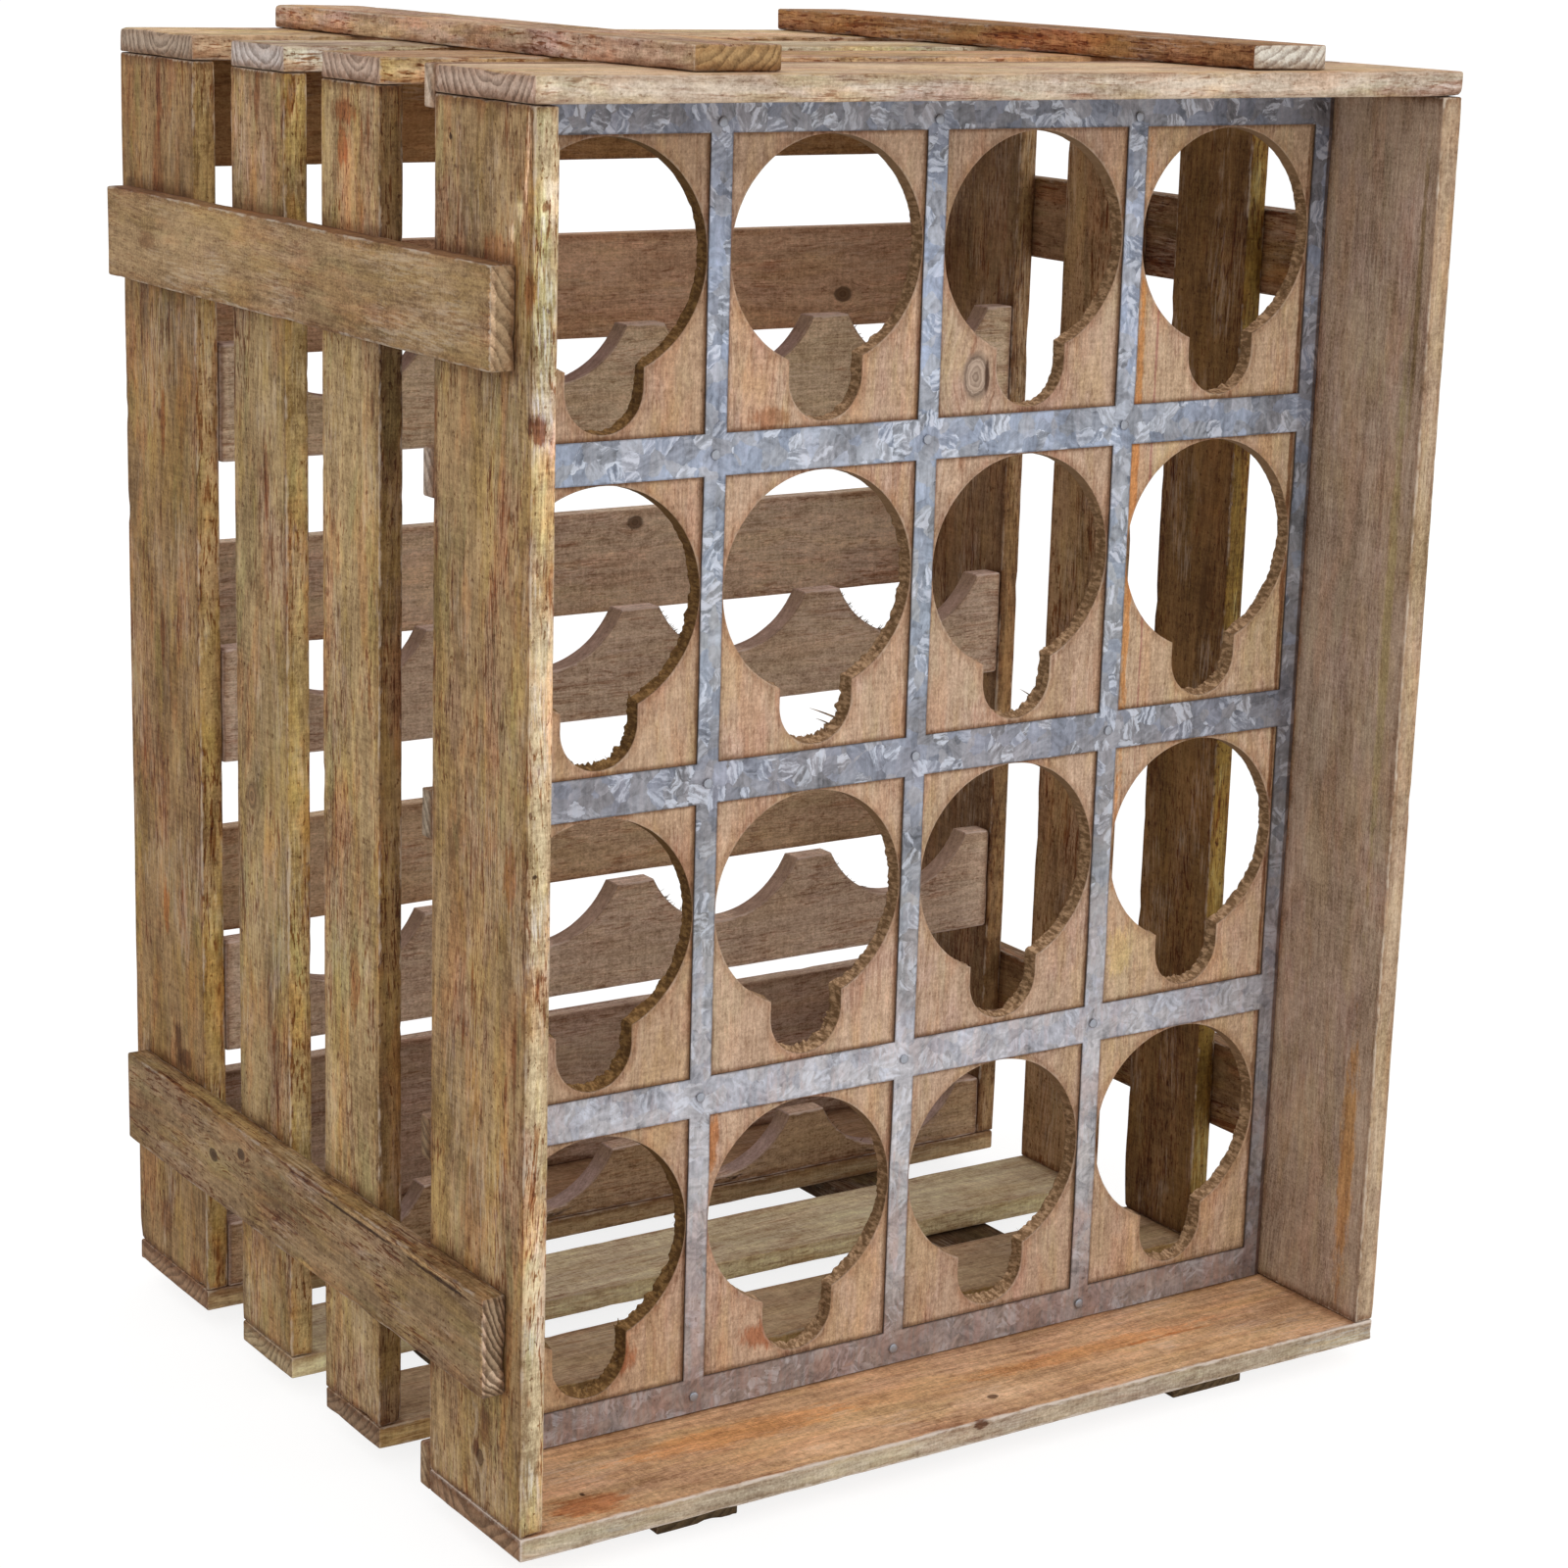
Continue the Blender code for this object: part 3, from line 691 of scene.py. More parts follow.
def frame_loop(points, centre, left, right, low, high):
    """Where rays from the centre through a loop's points meet a rectangle, corners included."""
    away = points - centre
    reach = np.full(len(points), 1e9)
    for axis, near, far in ((0, left, right), (1, low, high)):
        limit = np.where(away[:, axis] > 0, far - centre[axis], near - centre[axis])
        with np.errstate(divide="ignore", invalid="ignore"):
            reach = np.minimum(reach, np.where(away[:, axis] != 0, limit / away[:, axis], 1e9))
    met = centre + away * reach[:, None]
    for corner in ((left, low), (right, low), (right, high), (left, high)):
        met[np.argmin(np.linalg.norm(met - corner, axis=1))] = corner
    return met


def loose_splinters(column, row, loop, out, torn, thickness, seed):
    """Splinters of one hole: base, direction, depth, radius and sag of each, and how dark it is."""
    rng = np.random.default_rng(seed)
    tear = TEARS[row][column]
    chance = torn ** 3 / np.sum(torn ** 3)
    for index in rng.choice(len(loop), int(22 * tear), p=chance):
        depth = thickness * rng.uniform(0.6, 1.0)
        base = loop[index] + out[index] * 0.3 * MM
        into = -out[index] * rng.uniform(0.2, 1.0) + (0, rng.uniform(-1.0, 1.0))
        length = rng.uniform(1.0, 2.4 + tear) * MM
        into *= length / np.linalg.norm(into)
        sag = rng.normal(0, 0.15, 3) * length
        yield base, into, depth, rng.uniform(0.10, 0.24) * MM, sag, rng.uniform(0, 1)
    hole = np.array([COLUMN_MIDDLES[column], WINDOW_TOPS[row] - HOLE_DROP])
    for spot, into, radius in SPLINTERS.get((row, column), ()):
        sag = np.array([0, 0.5, -0.8]) * MM
        yield hole + np.array(spot) * MM, np.array(into) * MM, thickness * 0.85, radius * MM, sag, 0.9


def front_board(column, material, seed):
    """One upright board with its four keyholes, torn at their right and lower edges."""
    node = f"front_board_{column + 1}"
    low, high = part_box(node)
    thickness = high.y - low.y
    middle = COLUMN_MIDDLES[column]
    breaks = [high.z, *[top - WINDOW_HEIGHT - 9 * MM for top in WINDOW_TOPS[:-1]], low.z]
    face = np.array([3.0, 1.9, 1.0, 0.45, 0.1]) * MM
    wall = np.array([0.12, 0.5, 1.2, 2.0, 2.8, 3.6, 4.4, 5.2, 5.9, 6.5, 7.0]) * MM
    points, quads, tips, levels = [], [], [], []
    for row, top in enumerate(WINDOW_TOPS):
        hole_z = top - HOLE_DROP
        loop, out = keyhole_loop(middle, hole_z)
        count = len(loop)
        centre = np.array([middle, hole_z - 10 * MM])
        rim = frame_loop(loop, centre, low.x, high.x, breaks[row + 1], breaks[row])
        torn = torn_share(loop, middle, hole_z, row)
        place = np.stack([loop[:, 0], np.zeros(count), loop[:, 1]], axis=1)
        ring_seed = seed + row * 7
        rings = []

        def keep(at, y, arris, in_wall):
            """One more ring of points, with how far it is from the arris and in the wall."""
            rings.append(np.stack([at[:, 0], y + np.zeros(count), at[:, 1]], axis=1))
            levels.append(np.stack([np.full(count, arris), np.full(count, in_wall), torn], axis=1))

        def inward(depth):
            """How far the wall stands into the hole at a depth: a slight taper, and the torn wood."""
            spot = place + (0, depth, 0)
            ragged = 0.62 + 0.60 * noise(spot, (0.0024, 0.0020, 0.0030), ring_seed + 3)
            ragged += 0.38 * noise(spot, (0.0010, 0.0014, 0.0014), ring_seed + 4)
            deep = depth / thickness
            return (0.45 * deep + TEARS[row][column] * torn * np.clip(ragged, 0, 2) * deep ** 1.5) * MM

        def ring(shift, depth, arris, in_wall):
            """One ring of points: shifted out from the hole's edge and set back."""
            spot = place + (0, depth, 0)
            rough = 0.10 * noise(spot, (0.0016, 0.0012, 0.005), ring_seed)
            rough += 0.14 * noise(spot, (0.004, 0.003, 0.009), ring_seed + 1)
            deep = ease(depth, 0.4 * MM, 3 * MM)
            rough = rough * (0.4 + deep * torn * 2.4)
            gouge = ease(noise(spot, (0.003, 0.002, 0.008), ring_seed + 2), 0.25, 0.8)
            rough = (rough + gouge * deep * torn * 0.5) * MM
            fade = np.clip(1 - shift / (4 * MM), 0, 1)
            y = low.y + depth
            if in_wall:
                y += 0.12 * MM * noise(spot, 0.0015, ring_seed + 5) * ease(depth, 0.5 * MM, 2 * MM)
            keep(loop + out * (shift + (rough - inward(depth)) * fade)[:, None], y, arris / MM, in_wall / MM)

        def flat_ring(share, y):
            """One ring of points between the hole and the outer edges of the board."""
            at = loop + out * face[0]
            keep(at + (rim - at) * share, y, 6.0 + 6 * share, 0.0)

        for share in (1.0, 0.6, 0.25):
            flat_ring(share, low.y)
        for shift in face:
            ring(shift, 0.0 if shift > 0.2 * MM else 0.04 * MM, shift, 0)
        for depth in wall:
            ring(0.0, depth, depth, depth)
        for shift in face[::-1]:
            ring(shift, thickness, shift, 0)
        for share in (0.25, 0.6, 1.0):
            flat_ring(share, high.y)

        start = sum(len(p) for p in points)
        last = start + (len(rings) - 1) * count
        points.append(np.concatenate(rings))
        quads += [band(a, a + count, count)[:, [0, 3, 2, 1]] for a in range(start, last, count)]
        # Outer sides of the board
        beyond = np.roll(rim, -1, axis=0)
        on_edge = np.zeros(count, bool)
        for axis, edge in ((0, low.x), (0, high.x), (1, low.z), (1, high.z)):
            on_edge |= np.isclose(rim[:, axis], edge) & np.isclose(beyond[:, axis], edge)
        quads.append(band(last, start, count)[on_edge][:, [0, 3, 2, 1]])

        # Splinters on the torn wall, most of them short ones along the grain
        loose = loose_splinters(column, row, loop, out, torn, thickness, ring_seed)
        for base, into, depth, radius, sag, dark in loose:
            start = sum(len(p) for p in points)
            base = np.array([base[0], low.y + depth, base[1]])
            into = np.array([into[0], 0.2 * MM, into[1]])
            spike, sides, tip = splinter(base, into, radius, sag, start)
            points.append(spike)
            quads.append(sides)
            tips.append(tip)
            levels.append(np.tile((5.0, 3.0 if dark > 0.35 else 0.0, 1.0), (len(spike), 1)))
    values = dict(zip(("arris", "wall", "torn"), np.concatenate(levels).T))
    faces = np.concatenate(quads).tolist() + tips
    piece = make_piece(node + "_torn", np.concatenate(points), faces, (Z, X, Y), (low + high) / 2,
                       material, values)
    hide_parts(node)


# Scalloped supports

def seat_height(node):
    """Height of a support's upper edge above its middle, as a function of x from its middle."""
    low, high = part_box(node)
    half = (high.z - low.z) / 2
    centre_x = (low.x + high.x) / 2
    rise = SEAT_RADIUS - SEAT_DEPTH

    def height(x):
        top = np.full(len(x), half)
        for middle in COLUMN_MIDDLES:
            away = np.abs(x + centre_x - middle)
            inside = away < SEAT_RADIUS
            dip = rise - np.sqrt(np.maximum(SEAT_RADIUS ** 2 - away ** 2, 0))
            top = np.where(inside, np.minimum(top, half + dip), top)
        return top
    return height


def seat_stations(node):
    """Places along a support: even ones, and the corners of its peaks."""
    low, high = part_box(node)
    centre_x = (low.x + high.x) / 2
    half_length = (high.x - low.x) / 2
    reach = math.sqrt(SEAT_RADIUS ** 2 - (SEAT_RADIUS - SEAT_DEPTH) ** 2)
    marks = set(places(high.x - low.x, 3 * MM).tolist())
    for middle in COLUMN_MIDDLES:
        for side in (-1, 1):
            corner = middle - centre_x + side * reach
            for step in (-0.4, 0.0, 0.4):
                mark = corner + step * MM
                if abs(mark) < half_length - 5 * MM:
                    marks.add(mark)
    return np.array(sorted(marks))


# Sheet metal grid

def make_grid(material):
    """The face grid as one thin, slightly wavy sheet with sixteen windows."""
    low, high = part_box("face_grid")
    half = WINDOW_WIDTH / 2
    windows_x = [(m - half, m + half) for m in COLUMN_MIDDLES]
    windows_z = [(top - WINDOW_HEIGHT, top) for top in WINDOW_TOPS][::-1]
    lip = 0.9 * MM

    def marks(start, stop, spans):
        edges = [start, *[edge for span in spans for edge in span], stop]
        result = []
        for a, b in zip(edges, edges[1:]):
            steps = max(2, round((b - a) / (5 * MM)))
            inner = np.linspace(a + lip, b - lip, steps).tolist() if b - a > 4 * lip else []
            result += [a, *inner]
        return np.array(result + [stop])

    xs, zs = marks(low.x, high.x, windows_x), marks(low.z, high.z, windows_z)
    grid_x, grid_z = np.meshgrid(xs, zs, indexing="ij")
    index = np.arange(grid_x.size).reshape(grid_x.shape)
    centre_x, centre_z = (xs[1:] + xs[:-1]) / 2, (zs[1:] + zs[:-1]) / 2
    open_x = np.zeros(len(centre_x), bool)
    open_z = np.zeros(len(centre_z), bool)
    for a, b in windows_x:
        open_x |= (centre_x > a) & (centre_x < b)
    for a, b in windows_z:
        open_z |= (centre_z > a) & (centre_z < b)
    solid = ~(open_x[:, None] & open_z[None, :])
    corners = np.stack([index[:-1, :-1], index[1:, :-1], index[1:, 1:], index[:-1, 1:]], axis=-1)
    front = corners[solid]
    flat = np.stack([grid_x.ravel(), np.zeros(grid_x.size), grid_z.ravel()], axis=1)
    wave = 0.35 * noise(flat, 0.05, 5) + 0.25 * noise(flat, 0.02, 6)
    edge_gap = np.full(grid_x.size, 9.0)
    for (a, b) in windows_x:
        for (c, d) in windows_z:
            dx = np.maximum(np.maximum(a - flat[:, 0], flat[:, 0] - b), 0)
            dz = np.maximum(np.maximum(c - flat[:, 2], flat[:, 2] - d), 0)
            edge_gap = np.minimum(edge_gap, np.hypot(dx, dz) / MM)
    lift = 0.25 * ease(2.0 - edge_gap, 0, 2.0)
    y_front = low.y - (0.15 + np.maximum(wave, -0.1) + lift) * MM
    sheet_front = np.stack([flat[:, 0], y_front, flat[:, 2]], axis=1)
    sheet_back = sheet_front + np.array([0, high.y - low.y, 0])
    count = len(flat)
    points = np.concatenate([sheet_front, sheet_back])
    quads = [front, front[:, ::-1] + count]
    # Cut edges, wherever a solid cell meets an open one or the outside
    padded = np.pad(solid, 1)
    for di, dj, pair in ((-1, 0, (0, 3)), (1, 0, (2, 1)), (0, -1, (1, 0)), (0, 1, (3, 2))):
        beside = padded[1 + di:padded.shape[0] - 1 + di, 1 + dj:padded.shape[1] - 1 + dj]
        cut = corners[solid & ~beside]
        a, b = cut[:, pair[0]], cut[:, pair[1]]
        quads.append(np.stack([a, b, b + count, a + count], axis=1))
    values = {"arris": np.concatenate([edge_gap, edge_gap])}
    centre = (low + high) / 2
    piece = make_piece("face_grid_sheet", points, np.concatenate(quads), (X, Y, Z), centre, material, values)
    for polygon in piece.data.polygons:
        polygon.use_smooth = False
    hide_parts("face_grid")


def make_tack_head(bar, level, material):
    """A low domed tack head, slightly battered, in the place of a CAD tack."""
    node = f"grid_tack_{bar}_{level}"
    low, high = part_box(node)
    middle = (low + high) / 2
    radius = (high.x - low.x) / 2
    profile = [(0.0, 0.0), (0.45, 0.06), (0.8, 0.22), (0.97, 0.5), (1.0, 0.85), (0.9, 1.1), (0.3, 1.2)]
    rise = 0.7 * MM
    sides = 20
    points = []
    for share, drop in profile:
        for side in range(sides):
            angle = 2 * math.pi * side / sides
            out = radius * share * (1 + 0.04 * math.sin(3 * angle + bar * 2 + level))
            points.append((middle.x + out * math.cos(angle), low.y - 0.3 * MM + rise * drop,
                           middle.z + out * math.sin(angle)))
    quads = [band(ring, ring + sides, sides) for ring in range(0, len(points) - sides, sides)]
    values = {"arris": np.full(len(points), 5.0)}
    piece = make_piece(node + "_head", points, np.concatenate(quads), (X, Y, Z), middle, material, values)
    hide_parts(node)


# Stage

RACK_MIDDLE = Vector((0, 0, 0.3))


def lamp(name, place, size, power):
    """A soft square lamp that points at the middle of the rack."""
    light = bpy.data.lights.new(name, "AREA")
    light.shape = "SQUARE"
    light.size = size
    light.energy = power
    holder = bpy.data.objects.new(name, light)
    holder.location = place
    holder.rotation_mode = "QUATERNION"
    holder.rotation_quaternion = (RACK_MIDDLE - Vector(place)).to_track_quat("-Z", "Y")
    bpy.context.scene.collection.objects.link(holder)


def wire(tree, surface, hit, shown):
    """Connect one shader for light that falls on things, and one for rays that show the backdrop."""
    path = tree.nodes.new("ShaderNodeLightPath")
    direct = path.outputs["Is Camera Ray"]
    for name in ("Is Glossy Ray", "Is Transmission Ray"):
        add = tree.nodes.new("ShaderNodeMath")
        add.operation = "MAXIMUM"
        tree.links.new(direct, add.inputs[0])
        tree.links.new(path.outputs[name], add.inputs[1])
        direct = add.outputs[0]
    mix = tree.nodes.new("ShaderNodeMixShader")
    for index, socket in enumerate((direct, hit.outputs[0], shown.outputs[0])):
        tree.links.new(socket, mix.inputs[index])
    tree.links.new(mix.outputs[0], tree.nodes[surface].inputs["Surface"])


def shader(tree, kind, **inputs):
    """A shader node with its colour and strength set."""
    node = tree.nodes.new(kind)
    for key, value in inputs.items():
        node.inputs[key].default_value = value
    return node


def make_world():
    """Soft, slightly warm light from all round. The backdrop itself shows white."""
    world = bpy.data.worlds.new("studio")
    bpy.context.scene.world = world
    world.use_nodes = True
    tree = world.node_tree
    tree.nodes.remove(tree.nodes["Background"])
    white = shader(tree, "ShaderNodeBackground", Color=(1, 1, 1, 1), Strength=1.0)
    soft = shader(tree, "ShaderNodeBackground", Color=(1.0, 0.985, 0.965, 1), Strength=1.0)
    wire(tree, "World Output", soft, white)


def make_floor():
    """A pale floor that shows white, with the rack's shadow faint on it."""
    size = 40.0
    mesh = bpy.data.meshes.new("floor")
    corners = [(-size, -size, 0), (size, -size, 0), (size, size, 0), (-size, size, 0)]
    mesh.from_pydata(corners, [], [(0, 1, 2, 3)])
    floor = bpy.data.objects.new("floor", mesh)
    bpy.context.scene.collection.objects.link(floor)
    material = bpy.data.materials.new("floor_paper")
    material.use_nodes = True
    tree = material.node_tree
    tree.nodes.remove(tree.nodes["Principled BSDF"])
    plain = shader(tree, "ShaderNodeBsdfDiffuse", Color=(0.80, 0.80, 0.79, 1))
    faint = shader(tree, "ShaderNodeBsdfDiffuse", Color=(0.22, 0.22, 0.22, 1))
    glow = shader(tree, "ShaderNodeEmission", Strength=0.84)
    both = tree.nodes.new("ShaderNodeAddShader")
    tree.links.new(faint.outputs[0], both.inputs[0])
    tree.links.new(glow.outputs[0], both.inputs[1])
    wire(tree, "Material Output", plain, both)
    mesh.materials.append(material)


def make_camera():
    """The photograph's viewpoint."""
    right = Vector((0.83436, -0.55051, 0.02808))
    up = Vector((0.11182, 0.21891, 0.96932))
    back = right.cross(up)
    camera = bpy.data.objects.new("camera", bpy.data.cameras.new("camera"))
    camera.matrix_world = Matrix.Translation((-0.90161, -1.36624, 0.68673)) @ Matrix(
        (right, up, back)).transposed().to_4x4()
    camera.data.lens = 81.09
    camera.data.sensor_width = 36.0
    camera.data.clip_start = 0.05
    camera.data.clip_end = 200.0
    bpy.context.scene.collection.objects.link(camera)
    bpy.context.scene.camera = camera


# The rack

NAIL = (0.16, 0.12, 0.10)
LAVENDER_END = (0.45, 0.33, 0.26)
DARK_END = (0.28, 0.17, 0.10)
ARCS = {"pith": (-9.0, 19.0), "spacing": 4.4, "end_rings": 0.5}
CALM = {"contrast": 0.75, "broad": 0.8, "specks": 0.8, "hue": 0.2, "marks": 0.5, "dry": 0.7}
EVEN = {"contrast": 0.75, "broad": 0.6, "specks": 1.3, "hue": 0.25, "marks": 0.6, "worn": 0.15}

# Faces that carry many stains: their axis, their place along it and how deep a stain goes, in mm
SLAT_OUTSIDE = (0, -237.5, 3)
BATTEN_OUTSIDE = (0, -248.8, 4)
RIGHT_INSIDE = (0, 226.5, 3)
BOTTOM_INSIDE = (2, 21.6, 3)
PANEL_FRONT = (1, -121.8, 3)


def on_face(face, *rows):
    """Stains on one face, from rows of two places, two reaches and the tint's three parts."""
    axis, level, depth = face
    for row in rows:
        spot, reach = list(row[:2]), list(row[2:4])
        spot.insert(axis, level)
        reach.insert(axis, depth)
        yield spot, reach, row[4:]


# Colours of the faces and of the ends, and what makes each board its own
BOARD_LOOKS = {
    "left_slat_front": {
        "left": (0.33, 0.22, 0.11), "front": (0.58, 0.48, 0.31),
        "knots": [((-237.5, -160.1, 45.3), 2.4, (0.16, 0.09, 0.045))],
        "stains": [
            *on_face(
                SLAT_OUTSIDE, (-190, 595, 1.1, 18, 1.8, 2.1, 2.7), (-188.5, 577, 1.4, 8, 1.8, 2.1, 2.7),
                (-184, 567, 3, 5, 1.7, 2.0, 2.5), (-178, 558, 2.8, 4, 1.7, 2.0, 2.5),
                (-128.2, 591.5, 1.6, 1.6, *NAIL), (-191.6, 536.8, 4, 12, 0.75, 0.48, 0.33),
                (-165, 550.5, 13, 8, 0.95, 0.70, 0.58), (-180.6, 304.1, 6, 16, 0.85, 0.60, 0.48),
                (-186, 231.8, 2.2, 22, 0.60, 0.42, 0.34), (-191.6, 151.7, 0.8, 20, 1.5, 1.5, 1.6),
                (-164.1, 61.2, 6, 10, 0.62, 0.47, 0.38), (-156, 48, 3.5, 5, 0.50, 0.36, 0.28)),
            ((-230, -194.6, 572), (8, 4, 10), (1.3, 1.35, 1.6)),
            ((-232.5, -194.6, 569.8), (2, 3, 2.2), (0.42, 0.28, 0.22)),
            ((-231, -194.6, 487), (10, 4, 19), (1.2, 1.25, 1.5)),
            ((-234.5, -194.6, 484.7), (5, 5, 8), (0.36, 0.19, 0.13)),
            ((-233.8, -194.6, 307.1), (1.6, 3, 1.6), NAIL),
            ((-228, -194.6, 400), (1.6, 3, 150), (1.25, 1.25, 1.3))]},
    "left_slat_second": {
        # Painted shade: the front face lies in the narrow gap between slats and is darker
        "left": (0.375, 0.265, 0.135), "front": (0.215, 0.135, 0.06),
        "stains": [*on_face(
            SLAT_OUTSIDE, (-33.7, 581.2, 6, 10, 0.80, 0.48, 0.34), (-36, 595, 12, 6, 0.72, 0.45, 0.33),
            (-45, 565, 20, 30, 1.12, 1.00, 1.00), (-61.1, 476.4, 2, 10, 0.50, 0.38, 0.33),
            (-44.1, 223.5, 6, 18, 0.85, 0.62, 0.50))]},
    "left_slat_third": {
        "left": (0.315, 0.22, 0.11), "front": (0.50, 0.37, 0.165),
        "knots": [((-237.5, 59.1, 282.7), 4.0, (0.30, 0.18, 0.09))],
        "stains": [*on_face(
            SLAT_OUTSIDE, (47.8, 597.4, 3, 18, 0.72, 0.50, 0.40), (48, 575, 24, 35, 1.12, 1.05, 1.18),
            (41, 428.1, 3, 22, 0.72, 0.50, 0.40))]},
    "left_slat_rear": {
        "left": (0.28, 0.175, 0.08), "front": (0.45, 0.31, 0.13),
        "stains": [*on_face(
            SLAT_OUTSIDE, (151.5, 586.8, 3, 24, 0.70, 0.44, 0.34), (152.5, 441, 3, 22, 0.72, 0.46, 0.36),
            (156.1, 340.4, 3, 18, 0.72, 0.46, 0.36), (156.4, 205.3, 4, 16, 1.15, 0.70, 0.45),
            (153, 550, 7, 35, 0.80, 0.62, 0.52), (144, 140, 5, 13, 0.42, 0.31, 0.25),
            (135, 134, 8, 6, 0.45, 0.33, 0.27), (162.1, 45, 9, 12, 0.75, 0.58, 0.48),
            (127.8, 26, 8, 10, 0.72, 0.55, 0.45))]},
    "right_slat_front": {
        "left": (0.37, 0.275, 0.205), "front": (0.40, 0.295, 0.20),
        "contrast": 0.75, "hue": 0.35, "marks": 0.35, "rings": 0.2, "worn": 0.8, "specks": 1.6,
        "stains": [*on_face(
            RIGHT_INSIDE, (-180, 100, 6, 70, 1.10, 0.82, 0.48), (-182, 360, 3.5, 150, 0.90, 0.94, 0.72),
            (-187, 520, 2, 80, 0.66, 0.62, 0.46), (-120, 330, 4, 280, 0.95, 0.72, 0.56))]},
    # Painted shade: the second and rear right slats' faces deep in the rack are darker
    "right_slat_second": {"left": (0.19, 0.105, 0.04), "front": (0.245, 0.155, 0.035), "hue": 0.4},
    "right_slat_third": {"left": (0.34, 0.215, 0.115), "hue": 0.4},
    "right_slat_rear": {"left": (0.225, 0.135, 0.07), "front": (0.28, 0.17, 0.08), "hue": 0.4},
    "top_slat_front": {
        "front": (0.56, 0.475, 0.39), "up": (0.53, 0.385, 0.255), "end": LAVENDER_END, **ARCS,
        "contrast": 0.75, "hue": 0.5, "marks": 0.7,
        "stains": [((-234, -194.6, 614), (9, 6, 5), (1.25, 1.25, 1.3))]},
    "top_slat_second": {"front": (0.69, 0.47, 0.29), "up": (0.45, 0.28, 0.16), "end": LAVENDER_END, **ARCS},
    "top_slat_third": {
        "front": (0.72, 0.66, 0.52), "up": (0.46, 0.35, 0.24), "end": (0.525, 0.46, 0.43), **ARCS},
    "top_slat_rear": {
        "front": (0.55, 0.39, 0.25), "up": (0.54, 0.39, 0.23), "end": (0.38, 0.29, 0.22), **ARCS},
    "bottom_slat_front": {
        "up": (0.67, 0.425, 0.25), "front": (0.49, 0.42, 0.32), "end": DARK_END,
        "pith": (-8.0, 26.0), "spacing": 6.0, "rings": 0.7, "contrast": 0.72, "hue": 0.3, "marks": 0.35,
        "worn": 0.9, "bare_from": 0.30, "bare_width": 1.8, "pale": (0.66, 0.57, 0.50),
        "knots": [((21.1, -175.6, 21.6), 1.8, (0.22, 0.11, 0.06))],
        "stains": [
            *on_face(
                BOTTOM_INSIDE, (-193.1, -169.6, 1.6, 1.6, *NAIL), (-195, -180, 22, 11, 0.84, 0.56, 0.42),
                (-100, -150, 70, 12, 1.05, 0.86, 0.66), (90, -155, 80, 7, 1.02, 0.84, 0.68),
                (140, -160, 35, 1.6, 0.80, 0.58, 0.42), (5, -176, 50, 8, 1.10, 1.16, 1.22)),
            ((0.5, -194.6, 20), (4, 4, 3), (0.34, 0.21, 0.16))]},
    "bottom_slat_second": {
        "up": (0.48, 0.35, 0.22), "front": (0.53, 0.37, 0.16), "end": (0.24, 0.155, 0.095), **CALM},
    "bottom_slat_third": {
        "up": (0.84, 0.62, 0.43), "front": (0.92, 0.69, 0.42), "end": (0.36, 0.27, 0.16), **CALM},
    "bottom_slat_rear": {"up": (0.50, 0.34, 0.22), "front": (0.42, 0.30, 0.165), "end": DARK_END, **CALM},
    "left_upper_batten": {
        "left": (0.315, 0.21, 0.11), "up": (0.23, 0.12, 0.055), "end": (0.40, 0.28, 0.165),
        "worn": 0.6, "contrast": 0.85, "hue": 0.5, "marks": 0.5, "specks": 1.5, "pale": (0.50, 0.43, 0.35),
        "stains": [((-247.8, -181.6, 526.5), (1.6, 3, 24), (1.7, 1.8, 2.0)),
                   *on_face(BATTEN_OUTSIDE, (141.1, 526.1, 12, 5, 0.70, 0.60, 0.55))]},
    "left_lower_batten": {
        "left": (0.255, 0.17, 0.09), "up": (0.31, 0.205, 0.095), "end": (0.315, 0.225, 0.145),
        "pale": (0.50, 0.43, 0.36), "contrast": 0.9, "hue": 0.6, "spacing": 2.8, "end_rings": 1.0,
        "worn": 0.4,
        "knots": [((-248.8, 80.4, 105), 2.8, (0.085, 0.045, 0.02)),
                  ((-248.8, 49.9, 115), 2.4, (0.10, 0.055, 0.03))],
        "stains": [
            *on_face(
                BATTEN_OUTSIDE, (-70, 122.2, 45, 0.9, 0.22, 0.16, 0.12),
                (-140, 121.8, 40, 1, 0.22, 0.16, 0.12), (-100, 124, 80, 0.9, 1.7, 1.75, 1.8),
                (-15.4, 84, 10, 1.8, 1.5, 1.6, 1.4)),
            ((-248, -181.6, 104), (1.2, 3, 26), (1.9, 2.0, 2.3)),
            ((-243, -181.6, 90), (4, 3, 5), (1.8, 1.9, 2.1))]},
    "left_top_batten": {"up": (0.43, 0.285, 0.18), "left": (0.56, 0.40, 0.30), "end": (0.42, 0.27, 0.125)},
    "left_foot": {"left": (0.11, 0.075, 0.04), "end": (0.12, 0.085, 0.045)},
    "right_upper_batten": {"left": (0.26, 0.155, 0.085), "end": DARK_END},
    "right_lower_batten": {"left": (0.23, 0.135, 0.065), "end": DARK_END},
    "right_top_batten": {"up": (0.315, 0.165, 0.07), "left": (0.38, 0.20, 0.09), "end": (0.76, 0.68, 0.61)},
    "right_foot": {"left": (0.11, 0.075, 0.04), "end": (0.15, 0.105, 0.055)},
}
RAIL_ENDS = ((0.51, 0.41, 0.32), (0.37, 0.295, 0.24), (0.285, 0.23, 0.17), (0.205, 0.135, 0.075),
             (0.345, 0.24, 0.145))
for number, end_colour in enumerate(RAIL_ENDS, 1):
    BOARD_LOOKS[f"panel_rail_{number}"] = {"front": (0.34, 0.23, 0.16), "end": end_colour, **EVEN}
